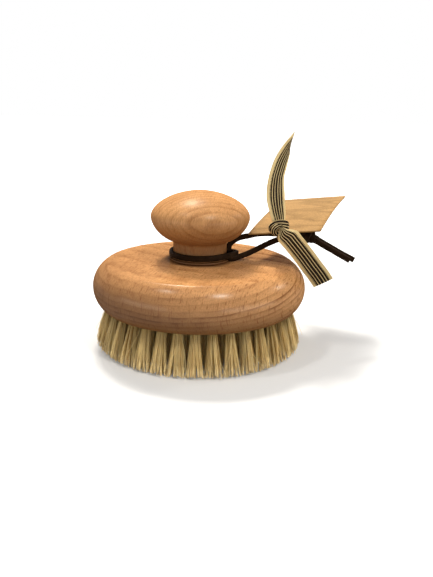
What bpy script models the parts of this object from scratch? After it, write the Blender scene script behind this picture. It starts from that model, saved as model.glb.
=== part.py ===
"""Round body brush with a turned knob, a tufted bristle face and a hanging thong.

Metres, +Z up. The origin is the middle of the circle of bristle tips, which the brush
stands on. The turned back and knob share the Z axis. The thong swivels on the knob's neck,
and the tag turns on the ribbon that is tied through its hole.
"""

import math

import bmesh
import bpy
from mathutils import Matrix, Vector

# Fits shared by every piece
SEAT_GAP = 0.0003
CUT_OVERRUN = 0.002
MERGE_DISTANCE = 0.000005

# Turned back, from the bristle tips up
BRISTLE_REACH = 0.0234
BACK_RADIUS = 0.060
EDGE_ROUND_RADIUS = 0.015
UNDERSIDE_TO_EQUATOR = 0.0112
EQUATOR_TO_RIM = 0.01335
CROWN_RISE = 0.0010
CROWN_FLAT_MARGIN = 0.0005
UNDERSIDE_EASE = 0.0010
RIM_EASE = 0.0004

# Turned knob, from the top of the back up
FOOT_RADIUS = 0.0172
FOOT_THICKNESS = 0.0010
FOOT_EASE = 0.0003
COVE_RADIUS = 0.0014
NECK_RADIUS = 0.0151
BELLY_FILLET = 0.0013
BELLY_CORE_RADIUS = 0.0120
BELLY_DROP = 0.01415
KNOB_RADIUS = 0.0276
KNOB_EQUATOR_HEIGHT = 0.02445
KNOB_DOME_RISE = 0.0143
BELLY_FULLNESS = 1.78
DOME_FULLNESS = 1.81

# Fluted dowel that joins the knob to the back
DOWEL_RADIUS = 0.005
DOWEL_IN_BACK = 0.0125
DOWEL_IN_KNOB = 0.0135
DOWEL_FLUTE_DEPTH = 0.0003
DOWEL_FLUTES = 12
DOWEL_EASE = 0.0008

# Tufts, drilled in rings round a middle tuft
SLICE_THICKNESS = 0.0020
SLICE_RADIUS = 0.0530
TUFT_EDGE_MARGIN = 0.0030
TUFT_RINGS = 5
TUFT_PITCH = 0.0087
TUFT_SPLAY_SHARE = 0.11
STRAND_ROOT_SIDE = 0.0017
STRAND_TIP_SIDE = 0.0026
STRAND_ROOT_SPREAD = 0.001025
STRAND_TIP_SPREAD = 0.00184

# Leather thong: its loop round the neck, its knots and its free stretches
THONG_DIAMETER = 0.0026
LOOP_HEIGHT_ON_BACK = 0.0038
LOOP_OPENING_ANGLE = math.radians(22)
LOOP_STEPS = 24
HITCH_CENTRE = (0.0186, -0.0010, 0.0529)
HITCH_HALF_SIZES = (0.0029, 0.0060, 0.0026)
END_KNOT_CENTRE = (0.0615, 0.0000, 0.0623)
END_KNOT_HALF_SIZES = (0.0047, 0.0036, 0.0033)
LOWER_STRAND_ROUTE = (
    (0.0196, -0.0030, 0.0513),
    (0.0213, -0.0033, 0.0510),
    (0.0238, -0.0026, 0.0518),
    (0.0273, -0.0012, 0.0529),
    (0.0319, 0.0000, 0.0547),
    (0.0358, 0.0003, 0.0564),
    (0.0403, 0.0003, 0.0585),
    (0.0448, 0.0003, 0.0602),
    (0.0494, 0.0006, 0.0609),
    (0.0540, 0.0009, 0.0609),
    (0.0582, 0.0010, 0.0609),
)
UPPER_STRAND_ROUTE = (
    (0.0184, 0.0004, 0.0542),
    (0.0176, 0.0018, 0.0557),
    (0.0174, 0.0028, 0.0572),
    (0.0184, 0.0033, 0.0586),
    (0.0207, 0.0032, 0.0598),
    (0.0234, 0.0025, 0.0604),
    (0.0272, 0.0010, 0.0610),
    (0.0328, -0.0013, 0.0621),
    (0.0378, -0.0030, 0.0630),
    (0.0415, -0.0038, 0.0638),
    (0.0446, -0.0040, 0.0645),
    (0.0500, -0.0034, 0.0646),
    (0.0541, -0.0020, 0.0641),
    (0.0582, -0.0009, 0.0636),
)
TAIL_ROUTES = (
    (
        (0.0650, 0.0016, 0.0624),
        (0.0672, 0.0023, 0.0616),
        (0.0704, 0.0023, 0.0600),
        (0.0763, 0.0018, 0.0568),
        (0.0828, 0.0012, 0.0534),
        (0.0888, 0.0006, 0.0502),
    ),
    (
        (0.0646, -0.0016, 0.0609),
        (0.0664, -0.0021, 0.0600),
        (0.0693, -0.0023, 0.0583),
        (0.0752, -0.0026, 0.0550),
        (0.0811, -0.0030, 0.0517),
        (0.0863, -0.0034, 0.0491),
    ),
)

# Tag: a flat card on the upper strand, its hole over the strand
TAG_WIDTH = 0.0428
TAG_LENGTH = 0.0713
TAG_THICKNESS = 0.0008
TAG_CORNER_EASE = 0.0006
TAG_HOLE_FROM_NEAR_EDGE = 0.0056
TAG_HOLE_FROM_LEFT_EDGE = 0.0182
TAG_HOLE_CENTRE = (0.0446, -0.0040, 0.0665)
TAG_RISE_SHARES = (0.20, 0.07)
TAG_HEADING = math.radians(-24.5)

# Ribbon: knotted on the tag, gathered through its hole and round the upper strand
RIBBON_WIDTH = 0.0120
RIBBON_THICKNESS = 0.0005
RIBBON_STEP = 0.005
GATHERED_DIAMETER = 0.0016
GATHER_LENGTH = 0.010
GATHER_WIDTH_SHARE = 0.5
RIBBON_KNOT_CENTRE = (0.0443, -0.0062, 0.0691)
RIBBON_KNOT_HALF_SIZES = (0.0052, 0.0050, 0.0044)
LOWER_TAIL_SLANT = 0.003
UPPER_RIBBON_ROUTE = (
    (0.0436, -0.0064, 0.0705),
    (0.0428, -0.0070, 0.0730),
    (0.0416, -0.0078, 0.0777),
    (0.0412, -0.0076, 0.0842),
    (0.0407, -0.0072, 0.0907),
    (0.0409, -0.0065, 0.0972),
    (0.0430, -0.0050, 0.1045),
    (0.0448, -0.0040, 0.1087),
    (0.0466, -0.0030, 0.1135),
    (0.0498, -0.0020, 0.1198),
)
UPPER_RIBBON_ACROSS = ((0.87, 0.50, 0.0), (0.45, 0.89, -0.1))
LOWER_RIBBON_ROUTE = (
    (0.0448, -0.0098, 0.0700),
    (0.0460, -0.0134, 0.0682),
    (0.0485, -0.0150, 0.0647),
    (0.0524, -0.0154, 0.0599),
    (0.0567, -0.0150, 0.0547),
    (0.0609, -0.0140, 0.0494),
    (0.0652, -0.0128, 0.0437),
    (0.0683, -0.0118, 0.0382),
)
LOWER_RIBBON_ACROSS = ((0.86, -0.26, 0.44), (0.83, -0.10, 0.54))

# Facets of round pieces
BACK_SEGMENTS = 48
KNOB_SEGMENTS = 40
SLICE_SEGMENTS = 32
HOLE_SEGMENTS = 24

# Heights and radii that follow from the sizes above
EQUATOR_Z = BRISTLE_REACH + UNDERSIDE_TO_EQUATOR
RIM_Z = EQUATOR_Z + EQUATOR_TO_RIM
SEAT_Z = RIM_Z + CROWN_RISE
KNOB_BASE_Z = SEAT_Z + SEAT_GAP
KNOB_EQUATOR_Z = SEAT_Z + KNOB_EQUATOR_HEIGHT
BORE_RADIUS = DOWEL_RADIUS + SEAT_GAP
LOOP_RADIUS = NECK_RADIUS + SEAT_GAP + THONG_DIAMETER / 2
LOOP_Z = SEAT_Z + LOOP_HEIGHT_ON_BACK
THONG_STEP = 2 * THONG_DIAMETER
TAG_HOLE_RADIUS = THONG_DIAMETER / 2 + GATHERED_DIAMETER + 2 * SEAT_GAP
TUFT_FIELD_RADIUS = SLICE_RADIUS - TUFT_EDGE_MARGIN


def start_scene():
    """Empty scene with a collection for the brush and one for the cutters."""
    for obj in list(bpy.data.objects):
        bpy.data.objects.remove(obj)
    brush = bpy.data.collections.new("body_brush")
    cutters = bpy.data.collections.new("cutters")
    for collection in (brush, cutters):
        bpy.context.scene.collection.children.link(collection)
    return brush, cutters


BRUSH, CUTTERS = start_scene()


def principled(name, colour, roughness):
    material = bpy.data.materials.new(name)
    material.use_nodes = True
    shader = material.node_tree.nodes["Principled BSDF"]
    shader.inputs["Base Color"].default_value = (*colour, 1)
    shader.inputs["Roughness"].default_value = roughness
    shader.inputs["Metallic"].default_value = 0
    return material


BEECH_BACK = principled("oiled_beech_back", (0.50, 0.27, 0.12), 0.42)
BEECH_KNOB = principled("oiled_beech_knob", (0.52, 0.27, 0.11), 0.40)
BEECH_DOWEL = principled("beech_dowel", (0.62, 0.42, 0.24), 0.65)
THONG_LEATHER = principled("dark_leather", (0.012, 0.009, 0.007), 0.70)
RIBBON_COTTON = principled("striped_ribbon", (0.48, 0.40, 0.27), 0.90)
TAG_VENEER = principled("tag_veneer", (0.55, 0.36, 0.19), 0.75)


def add_object(name, data, collection=BRUSH, material=None):
    obj = bpy.data.objects.new(name, data)
    collection.objects.link(obj)
    if material is not None:
        data.materials.append(material)
    return obj


def finish_mesh(name, bm, material=None, collection=BRUSH):
    """Object that holds a bmesh, which is freed."""
    mesh = bpy.data.meshes.new(name)
    bm.to_mesh(mesh)
    bm.free()
    return add_object(name, mesh, collection, material)


def shade_round(mesh, sharp_angle=math.radians(35)):
    mesh.shade_smooth()
    mesh.set_sharp_from_angle(angle=sharp_angle)


def mark_cutter(obj):
    """Guide or cutter, which isn't part of the brush."""
    obj.hide_render = True
    obj.display_type = "WIRE"
    for collection in list(obj.users_collection):
        collection.objects.unlink(obj)
    CUTTERS.objects.link(obj)
    return obj


def boolean(obj, operand, operation):
    modifier = obj.modifiers.new(operand.name, "BOOLEAN")
    modifier.operation = operation
    modifier.solver = "EXACT"
    modifier.object = operand
    return modifier


def as_mesh(obj):
    """The object's evaluated shape as a welded mesh object in its place."""
    bpy.context.view_layer.update()
    depsgraph = bpy.context.evaluated_depsgraph_get()
    mesh = bpy.data.meshes.new_from_object(obj.evaluated_get(depsgraph))
    bm = bmesh.new()
    bm.from_mesh(mesh)
    bmesh.ops.remove_doubles(bm, verts=bm.verts, dist=MERGE_DISTANCE)
    bmesh.ops.recalc_face_normals(bm, faces=bm.faces)
    bm.to_mesh(mesh)
    bm.free()
    name = obj.name
    place = obj.matrix_world.copy()
    collection = obj.users_collection[0]
    bpy.data.objects.remove(obj)
    solid = bpy.data.objects.new(name, mesh)
    solid.matrix_world = place
    collection.objects.link(solid)
    return solid


# Turned pieces


def turned(name, profile, segments, material, closed=False):
    """Solid of revolution: the profile lies at +X and runs down its outer side."""
    bm = bmesh.new()
    verts = [bm.verts.new((radius, 0, height)) for radius, height in profile]
    for upper, lower in zip(verts, verts[1:]):
        bm.edges.new((upper, lower))
    if closed:
        bm.edges.new((verts[-1], verts[0]))
    obj = finish_mesh(name, bm, material)
    screw = obj.modifiers.new("Turning", "SCREW")
    screw.steps = segments
    screw.render_steps = segments
    screw.use_merge_vertices = True
    screw.merge_threshold = MERGE_DISTANCE
    screw.use_smooth_shade = True
    return obj


def eased(before, corner, after, reach, steps=3):
    """Rounded corner between two straight runs, starting the reach away from it."""
    corner = Vector(corner)
    start = corner + (Vector(before) - corner).normalized() * reach
    end = corner + (Vector(after) - corner).normalized() * reach
    points = []
    for step in range(steps + 1):
        t = step / steps
        points.append(tuple(start * (1 - t) ** 2 + corner * 2 * t * (1 - t) + end * t**2))
    return points


def arc(centre, radius, start, end, steps):
    """Points on an arc between two angles, both ends included."""
    angles = [start + (end - start) * step / steps for step in range(steps + 1)]
    return [
        (centre[0] + radius * math.cos(angle), centre[1] + radius * math.sin(angle))
        for angle in angles
    ]


def back_profile():
    """Section of the back: bore, crown, bullnose edge, underside and tuft recess."""
    flat_radius = FOOT_RADIUS + CROWN_FLAT_MARGIN
    round_centre = (BACK_RADIUS - EDGE_ROUND_RADIUS, EQUATOR_Z)
    rim_angle = math.asin(EQUATOR_TO_RIM / EDGE_ROUND_RADIUS)
    underside_angle = -math.asin(UNDERSIDE_TO_EQUATOR / EDGE_ROUND_RADIUS)
    edge = arc(round_centre, EDGE_ROUND_RADIUS, rim_angle, underside_angle, 14)
    rim_radius = edge[0][0]

    crown = []
    crown_steps = 4
    for step in range(crown_steps + 1):
        share = step / crown_steps
        radius = flat_radius + (rim_radius - flat_radius) * share
        crown.append((radius, RIM_Z + CROWN_RISE * (1 - share**2)))

    recess_radius = SLICE_RADIUS + SEAT_GAP
    recess_z = BRISTLE_REACH + SLICE_THICKNESS + SEAT_GAP
    bore_floor = SEAT_Z - DOWEL_IN_BACK - SEAT_GAP
    return [
        (0, bore_floor),
        (BORE_RADIUS, bore_floor),
        (BORE_RADIUS, SEAT_Z),
        *crown[:-1],
        *eased(crown[-2], edge[0], edge[1], RIM_EASE),
        *edge[1:-1],
        *eased(edge[-2], edge[-1], (recess_radius, BRISTLE_REACH), UNDERSIDE_EASE),
        (recess_radius, BRISTLE_REACH),
        (recess_radius, recess_z),
        (0, recess_z),
    ]


def belly_point(angle):
    """Point on the knob's lower half, 0 at its equator and a right angle at its core."""
    across = math.cos(angle) ** (2 / BELLY_FULLNESS)
    down = math.sin(angle) ** (2 / BELLY_FULLNESS)
    radius = BELLY_CORE_RADIUS + (KNOB_RADIUS - BELLY_CORE_RADIUS) * across
    return radius, KNOB_EQUATOR_Z - BELLY_DROP * down


def belly_angle(radius):
    """Angle at which the knob's lower half has this radius."""
    share = (radius - BELLY_CORE_RADIUS) / (KNOB_RADIUS - BELLY_CORE_RADIUS)
    return math.acos(share ** (BELLY_FULLNESS / 2))


def knob_profile():
    """Section of the knob: dome, belly, neck, cove, foot and the dowel's bore."""
    dome = []
    dome_steps = 9
    for step in range(dome_steps):
        angle = math.pi / 2 * step / dome_steps
        radius = KNOB_RADIUS * math.sin(angle) ** (2 / DOME_FULLNESS)
        rise = KNOB_DOME_RISE * math.cos(angle) ** (2 / DOME_FULLNESS)
        dome.append((radius, KNOB_EQUATOR_Z + rise))

    belly_steps = 8
    last = belly_angle(NECK_RADIUS + BELLY_FILLET)
    belly = [belly_point(last * step / belly_steps) for step in range(belly_steps)]
    throat = (NECK_RADIUS, belly_point(belly_angle(NECK_RADIUS))[1])
    fillet = eased(belly_point(last), throat, (NECK_RADIUS, KNOB_BASE_Z), BELLY_FILLET)

    foot_top = KNOB_BASE_Z + FOOT_THICKNESS
    cove_centre = (NECK_RADIUS + COVE_RADIUS, foot_top + COVE_RADIUS)
    cove = arc(cove_centre, COVE_RADIUS, math.pi, 3 * math.pi / 2, 3)
    foot_edge = (FOOT_RADIUS, foot_top)
    foot_corner = (FOOT_RADIUS, KNOB_BASE_Z)
    bore_top = KNOB_BASE_Z + DOWEL_IN_KNOB + SEAT_GAP
    return [
        *dome,
        *belly,
        *fillet,
        *cove,
        *eased(cove[-1], foot_edge, foot_corner, FOOT_EASE, 2),
        foot_corner,
        (BORE_RADIUS, KNOB_BASE_Z),
        (BORE_RADIUS, bore_top),
        (0, bore_top),
    ]


def build_wood():
    """Back and knob as two turned pieces, with the fluted dowel between them."""
    back = turned("brush_back", back_profile(), BACK_SEGMENTS, BEECH_BACK)
    knob = turned("knob", knob_profile(), KNOB_SEGMENTS, BEECH_KNOB)
    dowel_bottom = SEAT_Z - DOWEL_IN_BACK
    dowel_length = DOWEL_IN_BACK + SEAT_GAP + DOWEL_IN_KNOB
    bm = bmesh.new()
    bmesh.ops.create_cone(
        bm,
        cap_ends=True,
        segments=2 * DOWEL_FLUTES,
        radius1=DOWEL_RADIUS,
        radius2=DOWEL_RADIUS,
        depth=dowel_length,
    )
    flute_shrink = 1 - DOWEL_FLUTE_DEPTH / DOWEL_RADIUS
    for vert in bm.verts:
        sector = round(math.atan2(vert.co.y, vert.co.x) * DOWEL_FLUTES / math.pi)
        if sector % 2:
            vert.co.x *= flute_shrink
            vert.co.y *= flute_shrink
    dowel = finish_mesh("knob_dowel", bm, BEECH_DOWEL)
    dowel.location.z = dowel_bottom + dowel_length / 2
    ends = dowel.modifiers.new("Eased ends", "BEVEL")
    ends.width = DOWEL_EASE
    ends.segments = 1
    ends.limit_method = "ANGLE"
    ends.angle_limit = math.radians(60)
    return back, knob, dowel


# Bristles


def add_strand(bm, angle, root, tip):
    """One bundle of bristles: a four-sided taper whose flat tip stands at height zero.

    root and tip are its places along and across the tuft's own radius.
    """
    length = BRISTLE_REACH + SLICE_THICKNESS / 2
    made = bmesh.ops.create_cone(
        bm,
        cap_ends=True,
        segments=4,
        radius1=STRAND_TIP_SIDE / math.sqrt(2),
        radius2=STRAND_ROOT_SIDE / math.sqrt(2),
        depth=length,
    )
    lean_x = (root[0] - tip[0]) / length
    lean_y = (root[1] - tip[1]) / length
    lean = Matrix(
        (
            (1, 0, lean_x, tip[0]),
            (0, 1, lean_y, tip[1]),
            (0, 0, 1, 0),
            (0, 0, 0, 1),
        )
    )
    square_on = Matrix.Rotation(math.pi / 4, 4, "Z")
    stand = Matrix.Translation((0, 0, length / 2))
    turn = Matrix.Rotation(angle, 4, "Z")
    bmesh.ops.transform(bm, matrix=turn @ lean @ stand @ square_on, verts=made["verts"])


def add_tuft(bm, ring_radius, angle):
    """Four strands that share one drilled hole and fan out to the tips."""
    tip_radius = ring_radius * (1 + TUFT_SPLAY_SHARE)
    for side_x in (-1, 1):
        for side_y in (-1, 1):
            root = (ring_radius + side_x * STRAND_ROOT_SPREAD, side_y * STRAND_ROOT_SPREAD)
            tip = (tip_radius + side_x * STRAND_TIP_SPREAD, side_y * STRAND_TIP_SPREAD)
            add_strand(bm, angle, root, tip)


def slice_profile(inner_radius, outer_radius):
    """Section of one ring of the back's face, down its outer side."""
    top = BRISTLE_REACH + SLICE_THICKNESS
    profile = [(inner_radius, top), (outer_radius, top)]
    profile += [(outer_radius, BRISTLE_REACH), (inner_radius, BRISTLE_REACH)]
    return profile


def build_tuft_ring(index):
    """Ring of tufts, fused to its ring of the back's face. The last has the middle tuft."""
    ring_step = TUFT_FIELD_RADIUS / TUFT_RINGS
    ring_radius = TUFT_FIELD_RADIUS - index * ring_step
    innermost = index == TUFT_RINGS - 1
    outer_radius = ring_radius + ring_step / 2 - SEAT_GAP / 2
    if index == 0:
        outer_radius = SLICE_RADIUS
    inner_radius = 0 if innermost else ring_radius - ring_step / 2 + SEAT_GAP / 2

    name = f"tuft_ring_{index + 1}"
    straw = principled(f"bristle_{index + 1}", (0.62, 0.47, 0.24), 0.55)
    profile = slice_profile(inner_radius, outer_radius)
    ring = turned(name, profile, SLICE_SEGMENTS, straw, closed=not innermost)

    bm = bmesh.new()
    tufts = int(2 * math.pi * ring_radius / TUFT_PITCH)
    front = -math.pi / 2 - math.radians(2)
    for tuft in range(tufts):
        add_tuft(bm, ring_radius, front + 2 * math.pi * tuft / tufts)
    if innermost:
        add_tuft(bm, 0, front)
    strands = mark_cutter(finish_mesh(f"{name}_strands", bm))
    boolean(ring, strands, "UNION")
    return 4 * (tufts + innermost)


def build_bristles():
    strands = sum(build_tuft_ring(index) for index in range(TUFT_RINGS))
    print("bristle strands", strands)


# Thong


def smooth_route(points, spacing):
    """Even points, about the spacing apart, on a smooth curve through the route's points."""
    points = [Vector(point) for point in points]
    padded = [2 * points[0] - points[1], *points, 2 * points[-1] - points[-2]]
    fine = []
    span_steps = 16
    for a, b, c, d in zip(padded, padded[1:], padded[2:], padded[3:]):
        for step in range(span_steps):
            t = step / span_steps
            fine.append(
                b
                + (c - a) * t / 2
                + (2 * a - 5 * b + 4 * c - d) * t**2 / 2
                + (3 * b - a - 3 * c + d) * t**3 / 2
            )
    fine.append(points[-1])

    lengths = [0]
    for a, b in zip(fine, fine[1:]):
        lengths.append(lengths[-1] + (b - a).length)
    runs = max(2, round(lengths[-1] / spacing))
    even = [fine[0]]
    place = 0
    for run in range(1, runs):
        target = lengths[-1] * run / runs
        while lengths[place + 1] < target:
            place += 1
        share = (target - lengths[place]) / (lengths[place + 1] - lengths[place])
        even.append(fine[place].lerp(fine[place + 1], share))
    even.append(fine[-1])
    return even


def tube(name, points, diameter, material=None, collection=BRUSH):
    """Round tube with flat ends along the points."""
    curve = bpy.data.curves.new(name, "CURVE")
    curve.dimensions = "3D"
    curve.bevel_depth = diameter / 2
    curve.bevel_resolution = 2
    curve.use_fill_caps = True
    spline = curve.splines.new("POLY")
    spline.points.add(len(points) - 1)
    for target, point in zip(spline.points, points):
        target.co = (*point, 1)
    return add_object(name, curve, collection, material)


def lump(name, centre, half_sizes, material):
    """Knot as a plain rounded lump."""
    bm = bmesh.new()
    bmesh.ops.create_uvsphere(bm, u_segments=16, v_segments=10, radius=1)
    size = Matrix.Diagonal((*half_sizes, 1))
    bmesh.ops.transform(bm, matrix=Matrix.Translation(centre) @ size, verts=bm.verts)
    obj = finish_mesh(name, bm, material)
    shade_round(obj.data)
    return obj


def cut_socket(knot, points):
    """Blind hole in a knot for the end of a thong stretch, which starts at points[0]."""
    first, second, third = points[:3]
    past = first + (first - second).normalized() * SEAT_GAP
    name = f"{knot.name}_socket_{len(knot.modifiers) + 1}"
    guide = tube(name, (past, second, third), THONG_DIAMETER + 2 * SEAT_GAP)
    boolean(knot, mark_cutter(as_mesh(guide)), "DIFFERENCE")


def loop_points():
    """Thong's loop, from the front of the hitch round the neck to the back of it."""
    start = -LOOP_OPENING_ANGLE / 2
    turn = -(2 * math.pi - LOOP_OPENING_ANGLE)
    points = []
    for step in range(LOOP_STEPS + 1):
        angle = start + turn * step / LOOP_STEPS
        points.append(
            Vector((LOOP_RADIUS * math.cos(angle), LOOP_RADIUS * math.sin(angle), LOOP_Z))
        )
    return points


def build_thong():
    """Thong's stretches and its two knots. Each stretch ends in a socket of a knot."""
    loop = loop_points()
    lower = smooth_route(LOWER_STRAND_ROUTE, THONG_STEP)
    upper = smooth_route(UPPER_STRAND_ROUTE, THONG_STEP)
    tails = [smooth_route(route, THONG_STEP) for route in TAIL_ROUTES]

    hitch = lump("thong_hitch", HITCH_CENTRE, HITCH_HALF_SIZES, THONG_LEATHER)
    for stretch in (loop, loop[::-1], lower, upper):
        cut_socket(hitch, stretch)
    end_knot = lump("thong_end_knot", END_KNOT_CENTRE, END_KNOT_HALF_SIZES, THONG_LEATHER)
    for stretch in (lower[::-1], upper[::-1], *tails):
        cut_socket(end_knot, stretch)

    stretches = {
        "thong_neck_loop": loop,
        "thong_lower_strand": lower,
        "thong_upper_strand": upper,
        "thong_tail_1": tails[0],
        "thong_tail_2": tails[1],
    }
    pieces = [hitch, end_knot]
    for name, points in stretches.items():
        pieces.append(tube(name, points, THONG_DIAMETER, THONG_LEATHER))
        length = sum((b - a).length for a, b in zip(points, points[1:]))
        print(name, "length", round(length, 4))
    return pieces


# Tag and ribbon


def tag_frame():
    """Place of the tag: origin in its hole, X along its near edge, Z its upper side."""
    rise_x, rise_y = TAG_RISE_SHARES
    normal = Vector((-rise_x, -rise_y, 1)).normalized()
    flat = Vector((math.cos(TAG_HEADING), math.sin(TAG_HEADING), 0))
    along = (flat - normal * flat.dot(normal)).normalized()
    turn = Matrix((along, normal.cross(along), normal)).transposed()
    return Matrix.Translation(TAG_HOLE_CENTRE) @ turn.to_4x4()


def tag_outline():
    """Rectangle with eased corners, measured from the hole."""
    left = -TAG_HOLE_FROM_LEFT_EDGE
    near = -TAG_HOLE_FROM_NEAR_EDGE
    right = left + TAG_WIDTH
    far = near + TAG_LENGTH
    corners = [(left, near), (right, near), (right, far), (left, far)]
    outline = []
    for before, corner, after in zip(
        corners[-1:] + corners[:-1], corners, corners[1:] + corners[:1]
    ):
        outline += eased(before, corner, after, TAG_CORNER_EASE, 2)
    return outline


def build_tag():
    """Flat card with a punched hole."""
    curve = bpy.data.curves.new("tag", "CURVE")
    curve.dimensions = "2D"
    curve.fill_mode = "BOTH"
    curve.extrude = TAG_THICKNESS / 2
    hole = arc((0, 0), TAG_HOLE_RADIUS, 0, 2 * math.pi, HOLE_SEGMENTS)[:-1]
    for outline in (tag_outline(), hole):
        spline = curve.splines.new("POLY")
        spline.points.add(len(outline) - 1)
        for target, point in zip(spline.points, outline):
            target.co = (*point, 0, 1)
        spline.use_cyclic_u = True
    tag = add_object("tag", curve, BRUSH, TAG_VENEER)
    tag.matrix_world = tag_frame()
    return tag


def ribbon_strip(name, route, across_ends, slant=0):
    """Flat ribbon along a route, gathered at its first end and turning as it goes."""
    points = smooth_route(route, RIBBON_STEP)
    last = len(points) - 1
    first_across, last_across = (Vector(across).normalized() for across in across_ends)
    bm = bmesh.new()
    bmesh.ops.create_grid(bm, x_segments=1, y_segments=last, size=1)
    for vert in bm.verts:
        row = round((vert.co.y + 1) / 2 * last)
        side = 1 if vert.co.x > 0 else -1
        across = first_across.lerp(last_across, row / last).normalized()
        spread = min(1, row * RIBBON_STEP / GATHER_LENGTH)
        width = RIBBON_WIDTH * (GATHER_WIDTH_SHARE + (1 - GATHER_WIDTH_SHARE) * spread)
        vert.co = points[row] + across * side * width / 2
        if row == last:
            onward = (points[-1] - points[-2]).normalized()
            vert.co -= onward * side * slant
    strip = finish_mesh(name, bm)
    thicken = strip.modifiers.new("Thickness", "SOLIDIFY")
    thicken.thickness = RIBBON_THICKNESS
    thicken.offset = 0
    return mark_cutter(as_mesh(strip))


def ribbon_noose():
    """Gathered ribbon: down one side of the tag's hole, under the strand and up again."""
    bow = THONG_DIAMETER / 2 + SEAT_GAP + GATHERED_DIAMETER / 2
    strand_z = TAG_HOLE_CENTRE[2] - TAG_THICKNESS / 2 - SEAT_GAP - THONG_DIAMETER / 2
    leg_top = RIBBON_KNOT_CENTRE[2]
    x, y = TAG_HOLE_CENTRE[:2]
    under = arc((y, strand_z), bow, math.pi, 2 * math.pi, 8)
    profile = [(y - bow, leg_top), *under, (y + bow, leg_top)]
    points = [Vector((x, across, height)) for across, height in profile]
    return mark_cutter(as_mesh(tube("ribbon_noose", points, GATHERED_DIAMETER)))


def build_ribbon():
    """Ribbon tied through the tag's hole: knot, noose and two tails, one piece."""
    knot = lump("ribbon", RIBBON_KNOT_CENTRE, RIBBON_KNOT_HALF_SIZES, RIBBON_COTTON)
    rest = bmesh.new()
    bmesh.ops.create_cube(rest, size=1)
    depth = TAG_THICKNESS / 2 + SEAT_GAP + 2 * RIBBON_KNOT_HALF_SIZES[2]
    block = (TAG_WIDTH, TAG_WIDTH, depth, 1)
    drop = Matrix.Translation((0, 0, TAG_THICKNESS / 2 + SEAT_GAP - depth / 2))
    bmesh.ops.transform(
        rest, matrix=tag_frame() @ drop @ Matrix.Diagonal(block), verts=rest.verts
    )
    boolean(knot, mark_cutter(finish_mesh("tag_space", rest)), "DIFFERENCE")
    boolean(knot, ribbon_noose(), "UNION")
    upper = ribbon_strip("ribbon_upper_tail", UPPER_RIBBON_ROUTE, UPPER_RIBBON_ACROSS)
    boolean(knot, upper, "UNION")
    lower = ribbon_strip(
        "ribbon_lower_tail", LOWER_RIBBON_ROUTE, LOWER_RIBBON_ACROSS, LOWER_TAIL_SLANT
    )
    boolean(knot, lower, "UNION")
    return knot


def hang_on_neck(pieces):
    """Parent the pieces that swivel to an empty on the neck's axis."""
    axis = bpy.data.objects.new("thong_axis", None)
    axis.location = (0, 0, LOOP_Z)
    BRUSH.objects.link(axis)
    for piece in pieces:
        piece.parent = axis
        piece.matrix_parent_inverse = Matrix.Translation((0, 0, -LOOP_Z))


build_wood()
build_bristles()
hang_on_neck([*build_thong(), build_ribbon(), build_tag()])
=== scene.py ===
# %% [markdown]
# # Dressing a round body brush
#
# The CAD model has every piece at its real size: a turned beech back and knob, rings of
# bristle tufts, a leather thong, a striped ribbon and a tag. This lesson loads that model
# as a fixed frame and gives each piece the fine shape and the surface of the real one.
# Because the frame comes first, nothing needs fitting: a piece goes where its solid is.

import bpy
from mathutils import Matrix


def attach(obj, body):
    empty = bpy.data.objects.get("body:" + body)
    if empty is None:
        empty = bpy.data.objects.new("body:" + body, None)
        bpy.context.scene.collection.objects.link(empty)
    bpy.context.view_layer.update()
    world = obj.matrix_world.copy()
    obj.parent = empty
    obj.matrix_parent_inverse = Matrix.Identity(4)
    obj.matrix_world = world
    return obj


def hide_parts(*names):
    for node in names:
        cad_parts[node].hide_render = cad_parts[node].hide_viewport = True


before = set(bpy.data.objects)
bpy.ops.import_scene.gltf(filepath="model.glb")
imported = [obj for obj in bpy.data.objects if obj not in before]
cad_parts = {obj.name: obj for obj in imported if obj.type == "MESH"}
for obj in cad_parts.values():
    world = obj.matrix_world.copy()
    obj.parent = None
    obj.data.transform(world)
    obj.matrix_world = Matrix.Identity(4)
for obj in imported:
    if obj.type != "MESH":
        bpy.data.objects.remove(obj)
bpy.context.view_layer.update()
print("nodes in the frame:", len(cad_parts))

# %% [markdown]
# ## Camera
#
# The brush was seen from just over a hand's breadth above the table and about 35 cm
# away. A Track To constraint could aim the camera, but it can't hold the slight roll of
# a hand-held shot. A matrix made from heading, pitch and roll says all three plainly.

# %% Place the camera
import math

import bpy
from mathutils import Matrix, Vector, noise

CAMERA_PLACE = Vector((0, -0.3501, 0.1357))
CAMERA_HEADING = 0.0281
CAMERA_PITCH = 0.2894
CAMERA_ROLL = 0.023
CAMERA_LENS = 52.78
CAMERA_SENSOR = 36


def hand_held_matrix(place, heading, pitch, roll):
    """Camera matrix from its place and three angles. Pitch is downwards."""
    forward = Vector(
        (
            math.sin(heading) * math.cos(pitch),
            math.cos(heading) * math.cos(pitch),
            -math.sin(pitch),
        )
    )
    level = Vector((math.cos(heading), -math.sin(heading), 0))
    upright = level.cross(forward)
    right = level * math.cos(roll) + upright * math.sin(roll)
    up = upright * math.cos(roll) - level * math.sin(roll)
    turn = Matrix((right, up, -forward)).transposed()
    return Matrix.Translation(place) @ turn.to_4x4()


def new_object(name, data):
    """Object made from the data and linked to the scene."""
    made = bpy.data.objects.new(name, data)
    bpy.context.scene.collection.objects.link(made)
    return made


camera_data = bpy.data.cameras.new("camera")
camera_data.lens = CAMERA_LENS
camera_data.sensor_width = CAMERA_SENSOR
camera_data.sensor_fit = "HORIZONTAL"
camera = new_object("camera", camera_data)
camera.matrix_world = hand_held_matrix(
    CAMERA_PLACE, CAMERA_HEADING, CAMERA_PITCH, CAMERA_ROLL
)
bpy.context.scene.camera = camera
print("camera height", round(CAMERA_PLACE.z, 3))

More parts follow.
